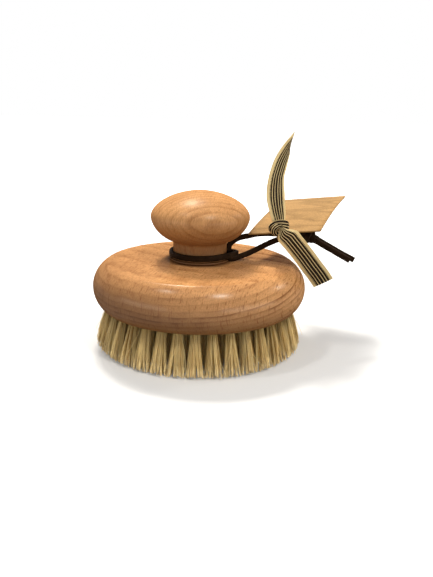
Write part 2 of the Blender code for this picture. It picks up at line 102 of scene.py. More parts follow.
# %% [markdown]
# ## A band along a route
#
# The thong and the ribbon are both flat bands that bend and twist. A curve object with
# a bevel would follow the route, but its twist is hard to steer. So a band is swept by
# hand: a flat section is set across the route at each step, and the direction of its
# wide side is chosen along the way. The same sweep writes a UV map whose U runs across
# the band and whose V runs along it, which leather grain and woven stripes both need.

# %% Smooth routes
MM = 0.001
ROUTE_FINENESS = 16


def millimetres(points):
    return [Vector(point) * MM for point in points]


def smooth_route(points, spacing):
    """Even points, about the spacing apart, on a smooth curve through the route."""
    points = [Vector(point) for point in points]
    padded = [2 * points[0] - points[1], *points, 2 * points[-1] - points[-2]]
    fine = []
    for a, b, c, d in zip(padded, padded[1:], padded[2:], padded[3:]):
        for step in range(ROUTE_FINENESS):
            t = step / ROUTE_FINENESS
            fine.append(
                b
                + (c - a) * t / 2
                + (2 * a - 5 * b + 4 * c - d) * t**2 / 2
                + (3 * b - a - 3 * c + d) * t**3 / 2
            )
    fine.append(points[-1])

    lengths = [0]
    for a, b in zip(fine, fine[1:]):
        lengths.append(lengths[-1] + (b - a).length)
    runs = max(2, round(lengths[-1] / spacing))
    even = [fine[0]]
    place = 0
    for run in range(1, runs):
        target = lengths[-1] * run / runs
        while lengths[place + 1] < target:
            place += 1
        share = (target - lengths[place]) / (lengths[place + 1] - lengths[place])
        even.append(fine[place].lerp(fine[place + 1], share))
    even.append(fine[-1])
    return even


def eased_share(share):
    """Share from 0 to 1 that starts and ends gently."""
    return share * share * (3 - 2 * share)


def route_length(points):
    return sum((b - a).length for a, b in zip(points, points[1:]))


def spread_directions(count, keys):
    """A direction for each of count points, from (share of the route, direction) keys."""
    directions = []
    for index in range(count):
        share = index / (count - 1)
        before = [key for key in keys if key[0] <= share][-1]
        after = ([key for key in keys if key[0] > share] or [before])[0]
        span = after[0] - before[0]
        blend = eased_share((share - before[0]) / span if span else 0)
        directions.append(Vector(before[1]).lerp(Vector(after[1]), blend).normalized())
    return directions


print("route helpers ready")

# %% Sweep a section along a route
import bmesh


def sweep(bm, path, wides, sections, unit, closed=False):
    """Band along the path. A section is a ring of (across, through, share) points.

    The share, from 0 to 1, is a point's place across the band's pattern, and becomes U
    in the UV map. V is the distance along the band, counted in units.
    """
    uv = bm.loops.layers.uv.verify()
    count = len(path)
    rings = []
    distances = [0]
    for index, (point, wide, section) in enumerate(zip(path, wides, sections)):
        ahead = path[(index + 1) % count] if closed else path[min(index + 1, count - 1)]
        behind = path[index - 1] if closed else path[max(index - 1, 0)]
        tangent = (ahead - behind).normalized()
        wide = (wide - tangent * wide.dot(tangent)).normalized()
        through = tangent.cross(wide)
        rings.append([bm.verts.new(point + wide * x + through * y) for x, y, _ in section])
        distances.append(distances[-1] + (ahead - point).length)

    sides = len(sections[0])
    for index in range(count if closed else count - 1):
        onward = (index + 1) % count
        for side in range(sides):
            beside = (side + 1) % sides
            corners = ((index, side), (index, beside), (onward, beside), (onward, side))
            face = bm.faces.new([rings[ring][place] for ring, place in corners])
            for loop, (ring, place) in zip(face.loops, corners):
                along = distances[index if ring == index else index + 1]
                loop[uv].uv = (sections[ring][place][2], along / unit)
    if not closed:
        for index in (0, count - 1):
            cap = bm.faces.new(rings[index])
            for loop, (_, _, share) in zip(cap.loops, sections[index]):
                loop[uv].uv = (share, distances[index] / unit)


def add_piece(name, bm, body, sharp_angle=math.radians(60)):
    """Object from a bmesh, smooth but for its sharp edges, that rides on a body."""
    bmesh.ops.recalc_face_normals(bm, faces=bm.faces)
    mesh = bpy.data.meshes.new(name)
    bm.to_mesh(mesh)
    bm.free()
    mesh.shade_smooth()
    mesh.set_sharp_from_angle(angle=sharp_angle)
    piece = new_object(name, mesh)
    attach(piece, body)
    print(name, len(mesh.vertices), "vertices")
    return piece


# %% [markdown]
# ## Leather thong
#
# The thong is a flat lace of dark leather, 3 mm wide and 2 mm thick. It loops once round
# the knob's neck, goes through its own fold, and its two strands run out to one shared
# knot, past which both ends hang free. Each run follows the route of its solid in the
# frame, point by point, because a thong that strays from its solid would no longer be
# where the physics has it. Cut leather has soft corners and a slightly uneven
# thickness, so the section is a rounded rectangle and a little noise moves its skin.

# %% Lace section and skin
LACE_WIDTH = 0.0031
LACE_THICKNESS = 0.0019
LACE_STEP = 0.0006
LACE_SECTION_POINTS = 16
LACE_SQUARENESS = 4
LACE_UNEVENNESS = 0.00007
LACE_UNEVEN_SCALE = 450


def rounded_section(width, thickness):
    """Ring of points on a rectangle with soft corners."""
    section = []
    for step in range(LACE_SECTION_POINTS):
        angle = 2 * math.pi * (step + 0.5) / LACE_SECTION_POINTS
        across = abs(math.cos(angle)) ** (2 / LACE_SQUARENESS) * width / 2
        through = abs(math.sin(angle)) ** (2 / LACE_SQUARENESS) * thickness / 2
        across = math.copysign(across, math.cos(angle))
        through = math.copysign(through, math.sin(angle))
        section.append((across, through, across / width + 0.5))
    return section


def roughen(bm, amount, scale):
    """Moves each point a little along its own normal."""
    bm.normal_update()
    for vert in bm.verts:
        vert.co += vert.normal * noise.noise(vert.co * scale) * amount


def add_lace(bm, path, wide_keys, closed=False):
    section = rounded_section(LACE_WIDTH, LACE_THICKNESS)
    wides = spread_directions(len(path), wide_keys)
    sweep(bm, path, wides, [section] * len(path), LACE_WIDTH, closed)


print("lace section", LACE_WIDTH, "by", LACE_THICKNESS)

# %% Loop round the neck and two strands
LOOP_RADIUS = 0.0164
LOOP_Z = 0.05275
LOOP_LEAVES = math.radians(46)
LOOP_HALF_OPENING = math.radians(11)
LOOP_STEPS = 120
LOOP_LEAD = millimetres([(18.4, -5.0, 52.75), (16.1, -7.3, 52.75), (13.8, -9.6, 52.75)])
LOWER_ROUTE = millimetres(
    [
        (14.8, -6.4, 50.9), (16.9, -6.0, 50.6), (18.9, -5.2, 50.6), (21.3, -3.3, 51.0),
        (23.8, -2.6, 51.8), (27.3, -1.2, 52.9), (31.9, 0, 54.9), (35.8, 0.3, 56.9),
        (40.3, 0.3, 59.2), (44.8, 0.3, 60.9), (49.4, 0.6, 61.5), (54.0, 0.9, 61.6),
        (58.2, 1.0, 61.5), (64.6, 1.2, 62.0), (67.2, 1.6, 60.5), (70.4, 1.6, 58.7),
        (76.3, 1.2, 55.5), (82.8, 0.6, 52.1), (87.8, 0.2, 49.6),
    ]
)
UPPER_ROUTE = millimetres(
    [
        (16.3, -0.2, 53.4), (16.2, 0, 55.7), (16.7, 0.2, 57.4), (18.5, 0.4, 59.3),
        (21.3, 0.8, 60.9), (24.4, 1.2, 61.8), (28.0, 1.4, 62.4), (32.8, 0.9, 63.1),
        (37.8, -1.2, 63.8), (41.5, -3.2, 64.1), (44.6, -4.0, 64.5), (50.0, -3.4, 64.6),
        (54.1, -2.0, 64.1), (58.2, -0.9, 63.6), (64.0, -1.6, 61.1), (66.4, -2.1, 60.0),
        (69.3, -2.3, 58.4), (75.2, -2.6, 55.2), (81.1, -3.0, 52.0), (84.6, -3.2, 50.1),
    ]
)
UPRIGHT = (0, 0, 1)


def lace_piece(name, path, wide_keys):
    bm = bmesh.new()
    add_lace(bm, path, wide_keys)
    roughen(bm, LACE_UNEVENNESS, LACE_UNEVEN_SCALE)
    return add_piece(name, bm, "thong")


loop_turn = 2 * math.pi - LOOP_LEAVES - LOOP_HALF_OPENING
loop_angles = [
    -LOOP_LEAVES - loop_turn * step / LOOP_STEPS for step in range(LOOP_STEPS + 1)
]
loop_circle = [
    Vector((LOOP_RADIUS * math.cos(angle), LOOP_RADIUS * math.sin(angle), LOOP_Z))
    for angle in loop_angles
]
loop_path = smooth_route([*LOOP_LEAD, *loop_circle], LACE_STEP)
lower_path = smooth_route(LOWER_ROUTE, LACE_STEP)
upper_path = smooth_route(UPPER_ROUTE, LACE_STEP)
neck_loop = lace_piece("neck_loop_lace", loop_path, [(0, UPRIGHT)])
lower_lace = lace_piece(
    "lower_lace",
    lower_path,
    [(0, (0, -0.5, 1)), (0.15, UPRIGHT), (0.55, UPRIGHT), (0.7, (0.3, 0.5, 1)), (1, UPRIGHT)],
)
upper_lace = lace_piece(
    "upper_lace",
    upper_path,
    [
        (0, (1, 0.3, 0)), (0.05, (1, 0.2, -0.2)), (0.10, (0.7, 0, -0.7)),
        (0.15, (0.2, 0.2, -1)), (0.3, (0, 1, -0.25)), (0.6, (0, 1, 0)),
        (0.75, (0.3, -0.3, 1)), (1, UPRIGHT),
    ],
)

# %% [markdown]
# ## The thong's two knots
#
# At the neck the lace folds back on itself, and both strands pass under that fold. At
# the far end one overhand knot holds both strands. A sculpted lump would look soft and
# formless. Winding short lengths of the same lace along the paths that they really
# take gives knots with true creases and overlaps, even where only a dark edge shows.

# %% Fold at the neck
FOLD_ROUTE = millimetres(
    [
        (17.0, -6.4, 52.75), (18.6, -4.8, 52.8), (19.9, -3.5, 52.9), (20.7, -2.4, 52.9),
        (20.9, -1.2, 52.9), (20.2, 0.1, 52.9), (18.9, 1.2, 52.9), (17.4, 2.2, 52.85),
        (16.10, 3.13, 52.75),
    ]
)
fold_path = smooth_route(FOLD_ROUTE, LACE_STEP)
neck_fold = lace_piece("neck_fold", fold_path, [(0, UPRIGHT)])

# %% Overhand knot at the far end
END_KNOT_CENTRE = Vector((0.0598, 0, 0.0629))
WRAP_HALF_SIZES = (0.0031, 0.0027)
WRAP_FULLNESS = 0.7
WRAP_STEPS = 48
# Place of each turn of lace along the X axis, and its lean.
WRAPS = ((-0.0028, 0.2), (0.0001, 0.1), (0.0030, 0.0))
CROSSING = millimetres(
    [
        (56.0, 2.2, 61.1), (56.8, -1.2, 60.2), (57.8, -3.6, 61.2), (59.2, -4.2, 63.2),
        (60.8, -3.0, 65.0), (62.2, -0.4, 65.2), (63.4, 1.6, 64.2),
    ]
)


def wrap_path(shift, tilt):
    """Closed turn of lace round the X axis, leaned over by the tilt."""
    turn = Matrix.Rotation(tilt, 3, "Y")
    path = []
    for step in range(WRAP_STEPS):
        angle = 2 * math.pi * step / WRAP_STEPS
        y, z = (
            math.copysign(abs(share) ** WRAP_FULLNESS, share) * half
            for share, half in zip((math.cos(angle), math.sin(angle)), WRAP_HALF_SIZES)
        )
        path.append(END_KNOT_CENTRE + turn @ Vector((shift, y, z)))
    return path


bm = bmesh.new()
for shift, tilt in WRAPS:
    wide = (math.cos(tilt), 0, -math.sin(tilt))
    add_lace(bm, wrap_path(shift, tilt), [(0, wide)], closed=True)
add_lace(bm, smooth_route(CROSSING, LACE_STEP), [(0, (1, 0, 0.3)), (1, (1, 0, 0.3))])
roughen(bm, LACE_UNEVENNESS, LACE_UNEVEN_SCALE)
end_knot = add_piece("end_knot", bm, "thong")

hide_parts("thong_neck_loop")
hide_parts("thong_hitch")
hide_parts("thong_lower_strand", "thong_tail_1")
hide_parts("thong_upper_strand", "thong_tail_2")
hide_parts("thong_end_knot")
THONG_PIECES = (neck_loop, neck_fold, lower_lace, upper_lace, end_knot)

# %% [markdown]
# ## Node helpers
#
# Floor, light and finishes are all node trees. Adding nodes and links one by one takes
# many lines that hide the recipe. A few small helpers make a node, set or link its
# inputs and give back what it puts out, so a recipe reads as a row of sums.

# %% Nodes, mixes and fades
def set_inputs(tree, made, values):
    """Sets or links a node's inputs, by name or number."""
    for key, value in values.items():
        if isinstance(value, bpy.types.NodeSocket):
            tree.links.new(value, made.inputs[key])
        else:
            made.inputs[key].default_value = value


def node(tree, kind, values=None, **settings):
    """New shader node with its settings, and its inputs set or linked."""
    made = tree.nodes.new(f"ShaderNode{kind}")
    for name, value in settings.items():
        setattr(made, name, value)
    set_inputs(tree, made, values or {})
    return made


def calc(tree, operation, *values):
    return node(tree, "Math", dict(enumerate(values)), operation=operation).outputs[0]


def length_of(tree, vector):
    return node(tree, "VectorMath", {0: vector}, operation="LENGTH").outputs["Value"]


def axes_of(tree, vector):
    """The three numbers of a vector, as the outputs X, Y and Z."""
    return node(tree, "SeparateXYZ", {0: vector}).outputs


def mix(tree, factor, first, second, blend_type="MIX"):
    """Colour mix. A colour is a socket or three linear values."""
    first, second = (
        value if isinstance(value, bpy.types.NodeSocket) else (*value, 1)
        for value in (first, second)
    )
    values = {0: factor, 6: first, 7: second}
    return node(tree, "Mix", values, data_type="RGBA", blend_type=blend_type).outputs[2]


def fade(tree, value, low, high, at_low=0, at_high=1):
    """Level that goes smoothly from one end to the other as the value goes up."""
    values = {
        "Value": value,
        "From Min": low,
        "From Max": high,
        "To Min": at_low,
        "To Max": at_high,
    }
    return node(tree, "MapRange", values, interpolation_type="SMOOTHSTEP").outputs[0]


print("node helpers ready")

# %% [markdown]
# ## Floor, backdrop and light
#
# The brush stands on a plain white floor under soft light. The floor could be lit until
# it burns out, but that much light would bleach the wood too. Instead the floor adds a
# white glow of its own only away from the brush, and only for rays that come straight
# from the camera, a gloss or a glass, so the shadow under the brush stays. Its paint
# also throws back less light than it shows, or the bristles would lose their depth.

# %% Build the floor
FLOOR_HALF_SIZE = 4
FLOOR_PAINT = (0.75, 0.80, 0.89)
FLOOR_BOUNCE = (0.27, 0.26, 0.23)
GLOW_NEAR = 0.10
GLOW_STARTS = 0.10
GLOW_FULL = 0.70


def seen_directly(tree):
    """1 for rays from the camera, a gloss or a glass, and 0 for the rest."""
    path = node(tree, "LightPath").outputs
    glossy_or_camera = calc(tree, "MAXIMUM", path["Is Camera Ray"], path["Is Glossy Ray"])
    return calc(tree, "MAXIMUM", glossy_or_camera, path["Is Transmission Ray"])


half = FLOOR_HALF_SIZE
floor_mesh = bpy.data.meshes.new("floor")
floor_mesh.from_pydata(
    [(-half, -half, 0), (half, -half, 0), (half, half, 0), (-half, half, 0)],
    [],
    [(0, 1, 2, 3)],
)
floor = new_object("floor", floor_mesh)

floor_material = bpy.data.materials.new("floor")
floor_material.use_nodes = True
tree = floor_material.node_tree
tree.nodes.clear()
seen = seen_directly(tree)
paint = node(tree, "BsdfDiffuse", {"Color": mix(tree, seen, FLOOR_BOUNCE, FLOOR_PAINT)})
from_brush = length_of(tree, node(tree, "TexCoord").outputs["Object"])
glow_level = fade(tree, from_brush, GLOW_STARTS, GLOW_FULL, GLOW_NEAR)
glow = node(tree, "Emission", {"Strength": calc(tree, "MULTIPLY", seen, glow_level)})
both = node(tree, "AddShader", {0: paint.outputs[0], 1: glow.outputs[0]})
node(tree, "OutputMaterial", {"Surface": both.outputs[0]})
floor_mesh.materials.append(floor_material)
print("floor", 2 * FLOOR_HALF_SIZE, "m square")

# %% Light the world
ZENITH_STRENGTH = 0.44
HORIZON_STRENGTH = 0.18
SKY_TINT = (1, 0.93, 0.84)
WHITE = (1, 1, 1)

world = bpy.data.worlds.new("studio")
bpy.context.scene.world = world
world.use_nodes = True
tree = world.node_tree
tree.nodes.clear()
seen = seen_directly(tree)
upward = axes_of(tree, node(tree, "TexCoord").outputs["Generated"])["Z"]
falling = node(
    tree,
    "MapRange",
    {"Value": upward, "To Min": HORIZON_STRENGTH, "To Max": ZENITH_STRENGTH},
).outputs[0]
strength = node(tree, "Mix", {0: seen, 2: falling, 3: 1.0}, data_type="FLOAT").outputs[0]
tint = mix(tree, seen, SKY_TINT, WHITE)
sky = node(tree, "Background", {"Color": tint, "Strength": strength})
node(tree, "OutputWorld", {"Surface": sky.outputs[0]})
bpy.context.scene.view_settings.view_transform = "Standard"
print("sky from", HORIZON_STRENGTH, "to", ZENITH_STRENGTH)

# %% [markdown]
# ## Lamps
#
# A polished edge shows each lamp as a spot, so the lamps are placed by their spots. Three
# lamps high behind throw the knob's shadow forward and draw the thin bright line on the
# rim. Small ones in front and at the right leave the soft spots on the side. Two long
# ones near the floor lift the bristles, which the back would otherwise leave in shade.

# %% Hang the lamps
LAMP_TARGET = Vector((0, 0, 0.045))
LAMP_COLOUR = (1, 0.91, 0.77)
# Azimuth (0 in front, 90 at +X) and elevation in degrees, distance, size and watts.
LAMPS = {
    "back_key": (197, 61, 1.0, (0.16, 0.16), 8.4),
    "back_left": (213, 60, 1.1, (0.05, 0.05), 1.0),
    "back_right": (178, 60, 1.1, (0.05, 0.05), 1.0),
    "ceiling_middle": (33, 57, 1.2, (0.16, 0.22), 5.2),
    "ceiling_left": (-64, 64, 1.2, (0.12, 0.12), 2.5),
    "wall_right": (108, 30, 1.2, (0.14, 0.14), 2.3),
    "low_right": (52, 3, 1.2, (1.4, 0.25), 4.4),
    "low_left": (-60, 3, 1.2, (1.2, 0.25), 2.9),
}


def hang_lamp(name, azimuth, elevation, distance, size, power):
    """Area lamp aimed at the brush."""
    azimuth, elevation = math.radians(azimuth), math.radians(elevation)
    level = math.cos(elevation)
    place = LAMP_TARGET + distance * Vector(
        (math.sin(azimuth) * level, -math.cos(azimuth) * level, math.sin(elevation))
    )
    data = bpy.data.lights.new(name, "AREA")
    data.shape = "RECTANGLE"
    data.size, data.size_y = size
    data.energy = power
    data.color = LAMP_COLOUR
    aim = (LAMP_TARGET - place).to_track_quat("-Z", "Y").to_matrix().to_4x4()
    new_object(name, data).matrix_world = Matrix.Translation(place) @ aim


for lamp_name, setting in LAMPS.items():
    hang_lamp(lamp_name, *setting)
print("lamps:", len(LAMPS))

# %% [markdown]
# ## Masks and shared effects
#
# Every finish here is procedural: it is worked out from noise and from each piece's own
# place, with no image. Ramps turn a noise into a mask. What more than one finish uses
# becomes a node group, built once and placed in each material with its own values.

# %% Ramps, noises and bumps
def ramp(tree, factor, stops, interpolation="LINEAR"):
    """Mask from a value, through (place, level) stops."""
    made = node(tree, "ValToRGB", {0: factor})
    made.color_ramp.interpolation = interpolation
    elements = made.color_ramp.elements
    while len(elements) < len(stops):
        elements.new(0.5)
    for element, (place, level) in zip(elements, stops):
        element.position = place
        element.color = (level, level, level, 1)
    return made.outputs["Color"]


def noise_of(tree, vector, scale, detail=3, roughness=0.5, distortion=0):
    values = {
        "Vector": vector,
        "Scale": scale,
        "Detail": detail,
        "Roughness": roughness,
        "Distortion": distortion,
    }
    return node(tree, "TexNoise", values).outputs["Fac"]


def stretched(tree, vector, scale):
    """Vector scaled by a different amount on each axis."""
    values = {0: vector, 1: scale}
    return node(tree, "VectorMath", values, operation="MULTIPLY").outputs[0]


def bump(tree, height, distance, strength=1):
    values = {"Height": height, "Distance": distance, "Strength": strength}
    return node(tree, "Bump", values).outputs[0]


print("mask helpers ready")

# %% New materials and groups
def new_material(name):
    """Material, its tree and its Principled shader."""
    material = bpy.data.materials.new(name)
    material.use_nodes = True
    tree = material.node_tree
    return material, tree, tree.nodes["Principled BSDF"]


def new_group(name, inputs, outputs):
    """Shader node group with the given sockets, and its two end nodes."""
    group = bpy.data.node_groups.new(name, "ShaderNodeTree")
    for title, kind, default in inputs:
        socket = group.interface.new_socket(
            title, in_out="INPUT", socket_type=f"NodeSocket{kind}"
        )
        if default is not None:
            socket.default_value = default
    for title in outputs:
        group.interface.new_socket(title, in_out="OUTPUT", socket_type="NodeSocketFloat")
    return group, group.nodes.new("NodeGroupInput"), group.nodes.new("NodeGroupOutput")


def use_group(tree, group, values):
    placed = tree.nodes.new("ShaderNodeGroup")
    placed.node_tree = group
    set_inputs(tree, placed, values)
    return placed.outputs


print("material helpers ready")

# %% [markdown]
# ## Beech, as one shared effect
#
# Beech shows three things: soft bands where the growth rings come to the surface, short
# dark flecks where its rays are cut, and a fine, even grain. Painting them on flat would
# break at every curved edge, while real figure runs through the wood. So the group
# works in three dimensions, in millimetres, with its Z axis along the grain and its X and Y
# measured from the heart of the tree. The same group then gives end grain, side grain
# and every curve between, and each turned piece only says how its blank was sawn.

# %% Build the beech group
# How fast each noise runs, per millimetre: across, across and along the grain.
SLOW_WAVER = (0.030, 0.030, 0.012)
FAST_WAVER = (0.16, 0.16, 0.04)
RAY_RUN = (1.7, 0.16, 0.36)
GRAIN_RUN = (1.8, 1.8, 0.24)
MOTTLE_RUN = (0.10, 0.10, 0.05)
FAST_WAVER_SWING = 0.9
RING_STOPS = [(0, 0.4), (0.1, 0), (0.5, 0.15), (0.86, 0.8), (0.96, 1), (1, 0.5)]


def build_beech_group():
    group, start, end = new_group(
        "Beech figure",
        [("Place", "Vector", None), ("Ring width", "Float", 3.0), ("Waver", "Float", 2.5)],
        ["Bands", "Flecks", "Grain", "Mottle"],
    )
    place = start.outputs["Place"]
    slow = noise_of(group, stretched(group, place, SLOW_WAVER), 1, 2)
    fast = noise_of(group, stretched(group, place, FAST_WAVER), 1, 2)
    lean = calc(group, "MULTIPLY", calc(group, "SUBTRACT", slow, 0.5), start.outputs["Waver"])
    shake = calc(group, "MULTIPLY", calc(group, "SUBTRACT", fast, 0.5), FAST_WAVER_SWING)
    radius = length_of(group, stretched(group, place, (1, 1, 0)))
    wavered = calc(group, "ADD", calc(group, "ADD", radius, lean), shake)
    phase = calc(group, "DIVIDE", wavered, start.outputs["Ring width"])
    late_wood = ramp(group, calc(group, "FRACT", phase), RING_STOPS)
    own_depth = node(
        group, "TexWhiteNoise", {"W": calc(group, "FLOOR", phase)}, noise_dimensions="1D"
    ).outputs["Value"]
    depth = calc(group, "MULTIPLY_ADD", own_depth, 0.7, 0.3)
    fading = ramp(group, fast, [(0.36, 0.35), (0.62, 1)])
    rays = noise_of(group, stretched(group, place, RAY_RUN), 1, 1.5)
    outputs = {
        "Bands": calc(group, "MULTIPLY", calc(group, "MULTIPLY", late_wood, depth), fading),
        "Flecks": ramp(group, rays, [(0.57, 0), (0.70, 1)]),
        "Grain": noise_of(group, stretched(group, place, GRAIN_RUN), 1, 4, 0.7),
        "Mottle": noise_of(group, stretched(group, place, MOTTLE_RUN), 1, 3, 0.55),
    }
    set_inputs(group, end, outputs)
    return group


BEECH = build_beech_group()
print("group:", BEECH.name)

# %% Where the wood is darkened
# painted shade in the corner round the knob's foot, darkest at the joint
JOINT_RADIUS = 0.0174
JOINT_HEIGHT = 0.0494
JOINT_REACH = 0.0042
JOINT_SHADE_STRENGTH = 0.78
JOINT_SHADE_COLOUR = (0.09, 0.04, 0.016)


def joint_shade_mask(tree, coords):
    """Painted shade in the corner where the knob's foot meets the back."""
    radius = length_of(tree, stretched(tree, coords, (1, 1, 0)))
    outwards = calc(tree, "SUBTRACT", radius, JOINT_RADIUS)
    upwards = calc(tree, "SUBTRACT", axes_of(tree, coords)["Z"], JOINT_HEIGHT)
    corner = node(tree, "CombineXYZ", {"X": outwards, "Y": upwards}).outputs[0]
    return fade(tree, length_of(tree, corner), 0, JOINT_REACH, JOINT_SHADE_STRENGTH, 0)


def underside_shade_mask(tree, coords, low, high, lean):
    """Painted shade, darker towards the bottom and to one side: 1 below a leaning plane, 0
    above.
    """
    axes = axes_of(tree, coords)
    level = calc(tree, "MULTIPLY_ADD", axes["X"], lean, axes["Z"])
    return fade(tree, level, low, high, 1, 0)


print("joint darkened up to", JOINT_REACH, "away")

# %% Beech recipe
TO_MILLIMETRES = (1000, 1000, 1000)
# share of the dark wood colour used for the painted shade on the lower side
UNDERSIDE_SHADE_SHARE = 0.55
GLOSS_SWING = 0.26
POLISH_FADE = 1.4


def sawn(heading, tilt):
    """Turn of a blank whose grain runs at the heading from +Y, tilted out of level."""
    turn = Matrix.Rotation(math.radians(tilt), 3, "X")
    return (turn @ Matrix.Rotation(math.radians(heading), 3, "Z")).to_euler("XYZ")


def beech_material(
    name, turn, shift, ring_width, light, dark, fleck, roughness, depths, polish, underside_shade
):
    """Oiled beech. turn and shift place the piece in its tree; depths are (bands, flecks),
    polish is the (weight, roughness) of the rubbed oil, which fades at a flat glance, and
    the last argument is the (low, high, lean, strength) of painted shade, darker towards
    the bottom and to one side."""
    material, tree, shader = new_material(name)
    coords = node(tree, "TexCoord").outputs["Object"]
    placed = node(
        tree,
        "Mapping",
        {"Vector": coords, "Location": shift, "Rotation": turn, "Scale": TO_MILLIMETRES},
    ).outputs[0]
    figure = use_group(tree, BEECH, {"Place": placed, "Ring width": ring_width})
    bands = calc(tree, "MULTIPLY", figure["Bands"], depths[0])
    banded = mix(tree, bands, light, dark)
    mottle = ramp(tree, figure["Mottle"], [(0.3, 0.0), (0.7, 0.30)])
    mottled = mix(tree, mottle, banded, dark)
    grain = ramp(tree, figure["Grain"], [(0.34, 0.76), (0.64, 1.10)])
    grained = mix(tree, 1, mottled, grain, "MULTIPLY")
    flecks = calc(tree, "MULTIPLY", figure["Flecks"], depths[1])
    flecked = mix(tree, flecks, grained, fleck)
    # painted shade: darker towards the bottom and to one side
    *plane, underside_shade_strength = underside_shade
    underside_shade_level = calc(tree, "MULTIPLY", underside_shade_mask(tree, coords, *plane), underside_shade_strength)
    darkened = mix(tree, underside_shade_level, flecked, [UNDERSIDE_SHADE_SHARE * level for level in dark])
    gloss = calc(
        tree, "MULTIPLY_ADD", figure["Grain"], GLOSS_SWING, roughness - GLOSS_SWING / 2
    )
    height = calc(tree, "SUBTRACT", figure["Grain"], calc(tree, "MULTIPLY", flecks, 0.5))
    facing = node(tree, "LayerWeight").outputs["Facing"]
    fronting = calc(tree, "POWER", calc(tree, "SUBTRACT", 1, facing), POLISH_FADE)
    set_inputs(
        tree,
        shader,
        {
            # painted shade in the corner at the knob's foot
            "Base Color": mix(tree, joint_shade_mask(tree, coords), darkened, JOINT_SHADE_COLOUR),
            "Roughness": gloss,
            "Normal": bump(tree, height, 0.00004, 0.5),
            "Specular IOR Level": 0.0,
            "Coat Weight": calc(tree, "MULTIPLY", fronting, polish[0]),
            "Coat Roughness": polish[1],
        },
    )
    return material


print("beech recipe ready")

# %% Make the three beech finishes
BACK_WOOD = beech_material(
    "oiled_beech_back",
    turn=sawn(25, 78.5),
    shift=(-12, -400, 0),
    ring_width=2.8,
    light=(0.64, 0.345, 0.150),
    dark=(0.235, 0.094, 0.033),
    fleck=(0.23, 0.09, 0.032),
    roughness=0.25,
    depths=(1.15, 0.7),
    polish=(0.62, 0.24),
    underside_shade=(0.024, 0.047, 0.20, 0.68),
)
KNOB_WOOD = beech_material(
    "oiled_beech_knob",
    turn=(math.radians(12), math.radians(-12), 0),
    shift=(38, -48, 0),
    ring_width=2.9,
    light=(0.64, 0.350, 0.155),
    dark=(0.30, 0.127, 0.043),
    fleck=(0.21, 0.083, 0.027),
    roughness=0.41,
    depths=(0.95, 0.3),
    polish=(0.50, 0.33),
    underside_shade=(0.060, 0.080, -0.06, 0.65),
)
DOWEL_WOOD = beech_material(
    "raw_beech_dowel",
    turn=(0, 0, 0),
    shift=(-20, -30, 0),
    ring_width=2.4,
    light=(0.68, 0.47, 0.27),
    dark=(0.45, 0.25, 0.11),
    fleck=(0.30, 0.14, 0.06),
    roughness=0.65,
    depths=(0.5, 0.5),
    polish=(0.0, 0.5),
    underside_shade=(0.0, 1.0, 0.0, 0.0),
)
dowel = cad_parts["knob_dowel"]
dowel.data.materials.clear()
dowel.data.materials.append(DOWEL_WOOD)
print("wood finishes:", BACK_WOOD.name, KNOB_WOOD.name, DOWEL_WOOD.name)

# %% [markdown]
# ## Turned back and knob
#
# Both pieces came off a lathe, so one section spun round the Z axis makes each of them.
# The solids in the frame are turned too, but in coarse steps that would show as facets
# in a gloss. Here the same sections are drawn with fine steps. The Screw modifier does
# the turning, since it keeps the section editable, which a spun mesh wouldn't.

# %% Sections shared with the lathe
LATHE_STEPS = 144
BRISTLE_REACH = 0.0234
BACK_RADIUS = 0.060
EDGE_ROUND_RADIUS = 0.015
EQUATOR_Z = 0.0346
RIM_Z = 0.04795
SEAT_Z = 0.04895


def turned(name, section, body):
    """Solid of revolution from a section of (radius, height) points."""
    mesh = bpy.data.meshes.new(name)
    points = [(radius, 0, height) for radius, height in section]
    mesh.from_pydata(points, [(i, i + 1) for i in range(len(points) - 1)], [])
    piece = new_object(name, mesh)
    screw = piece.modifiers.new("Lathe", "SCREW")
    screw.steps = LATHE_STEPS
    screw.render_steps = LATHE_STEPS
    screw.use_merge_vertices = True
    screw.merge_threshold = 0.000001
    screw.use_smooth_shade = True
    screw.use_normal_calculate = True
    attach(piece, body)
    print(name, "section of", len(points), "points")
    return piece


def arc(centre, radius, start, end, steps):
    angles = [start + (end - start) * step / steps for step in range(steps + 1)]
    return [
        (centre[0] + radius * math.cos(angle), centre[1] + radius * math.sin(angle))
        for angle in angles
    ]


def eased(before, corner, after, reach, steps=5):
    """Rounded corner between two straight runs, starting the reach away from it."""
    corner = Vector(corner)
    start = corner + (Vector(before) - corner).normalized() * reach
    end = corner + (Vector(after) - corner).normalized() * reach
    points = []
    for step in range(steps + 1):
        t = step / steps
        points.append(tuple(start * (1 - t) ** 2 + corner * 2 * t * (1 - t) + end * t**2))
    return points


# %% Turn the back
BACK_FLAT_RADIUS = 0.0177
CROWN_RISE = SEAT_Z - RIM_Z
BORE_RADIUS = 0.0053
BORE_FLOOR = 0.03615
CROWN_STEPS = 12
RIM_EASE = 0.0006
UNDERSIDE_EASE = 0.0012


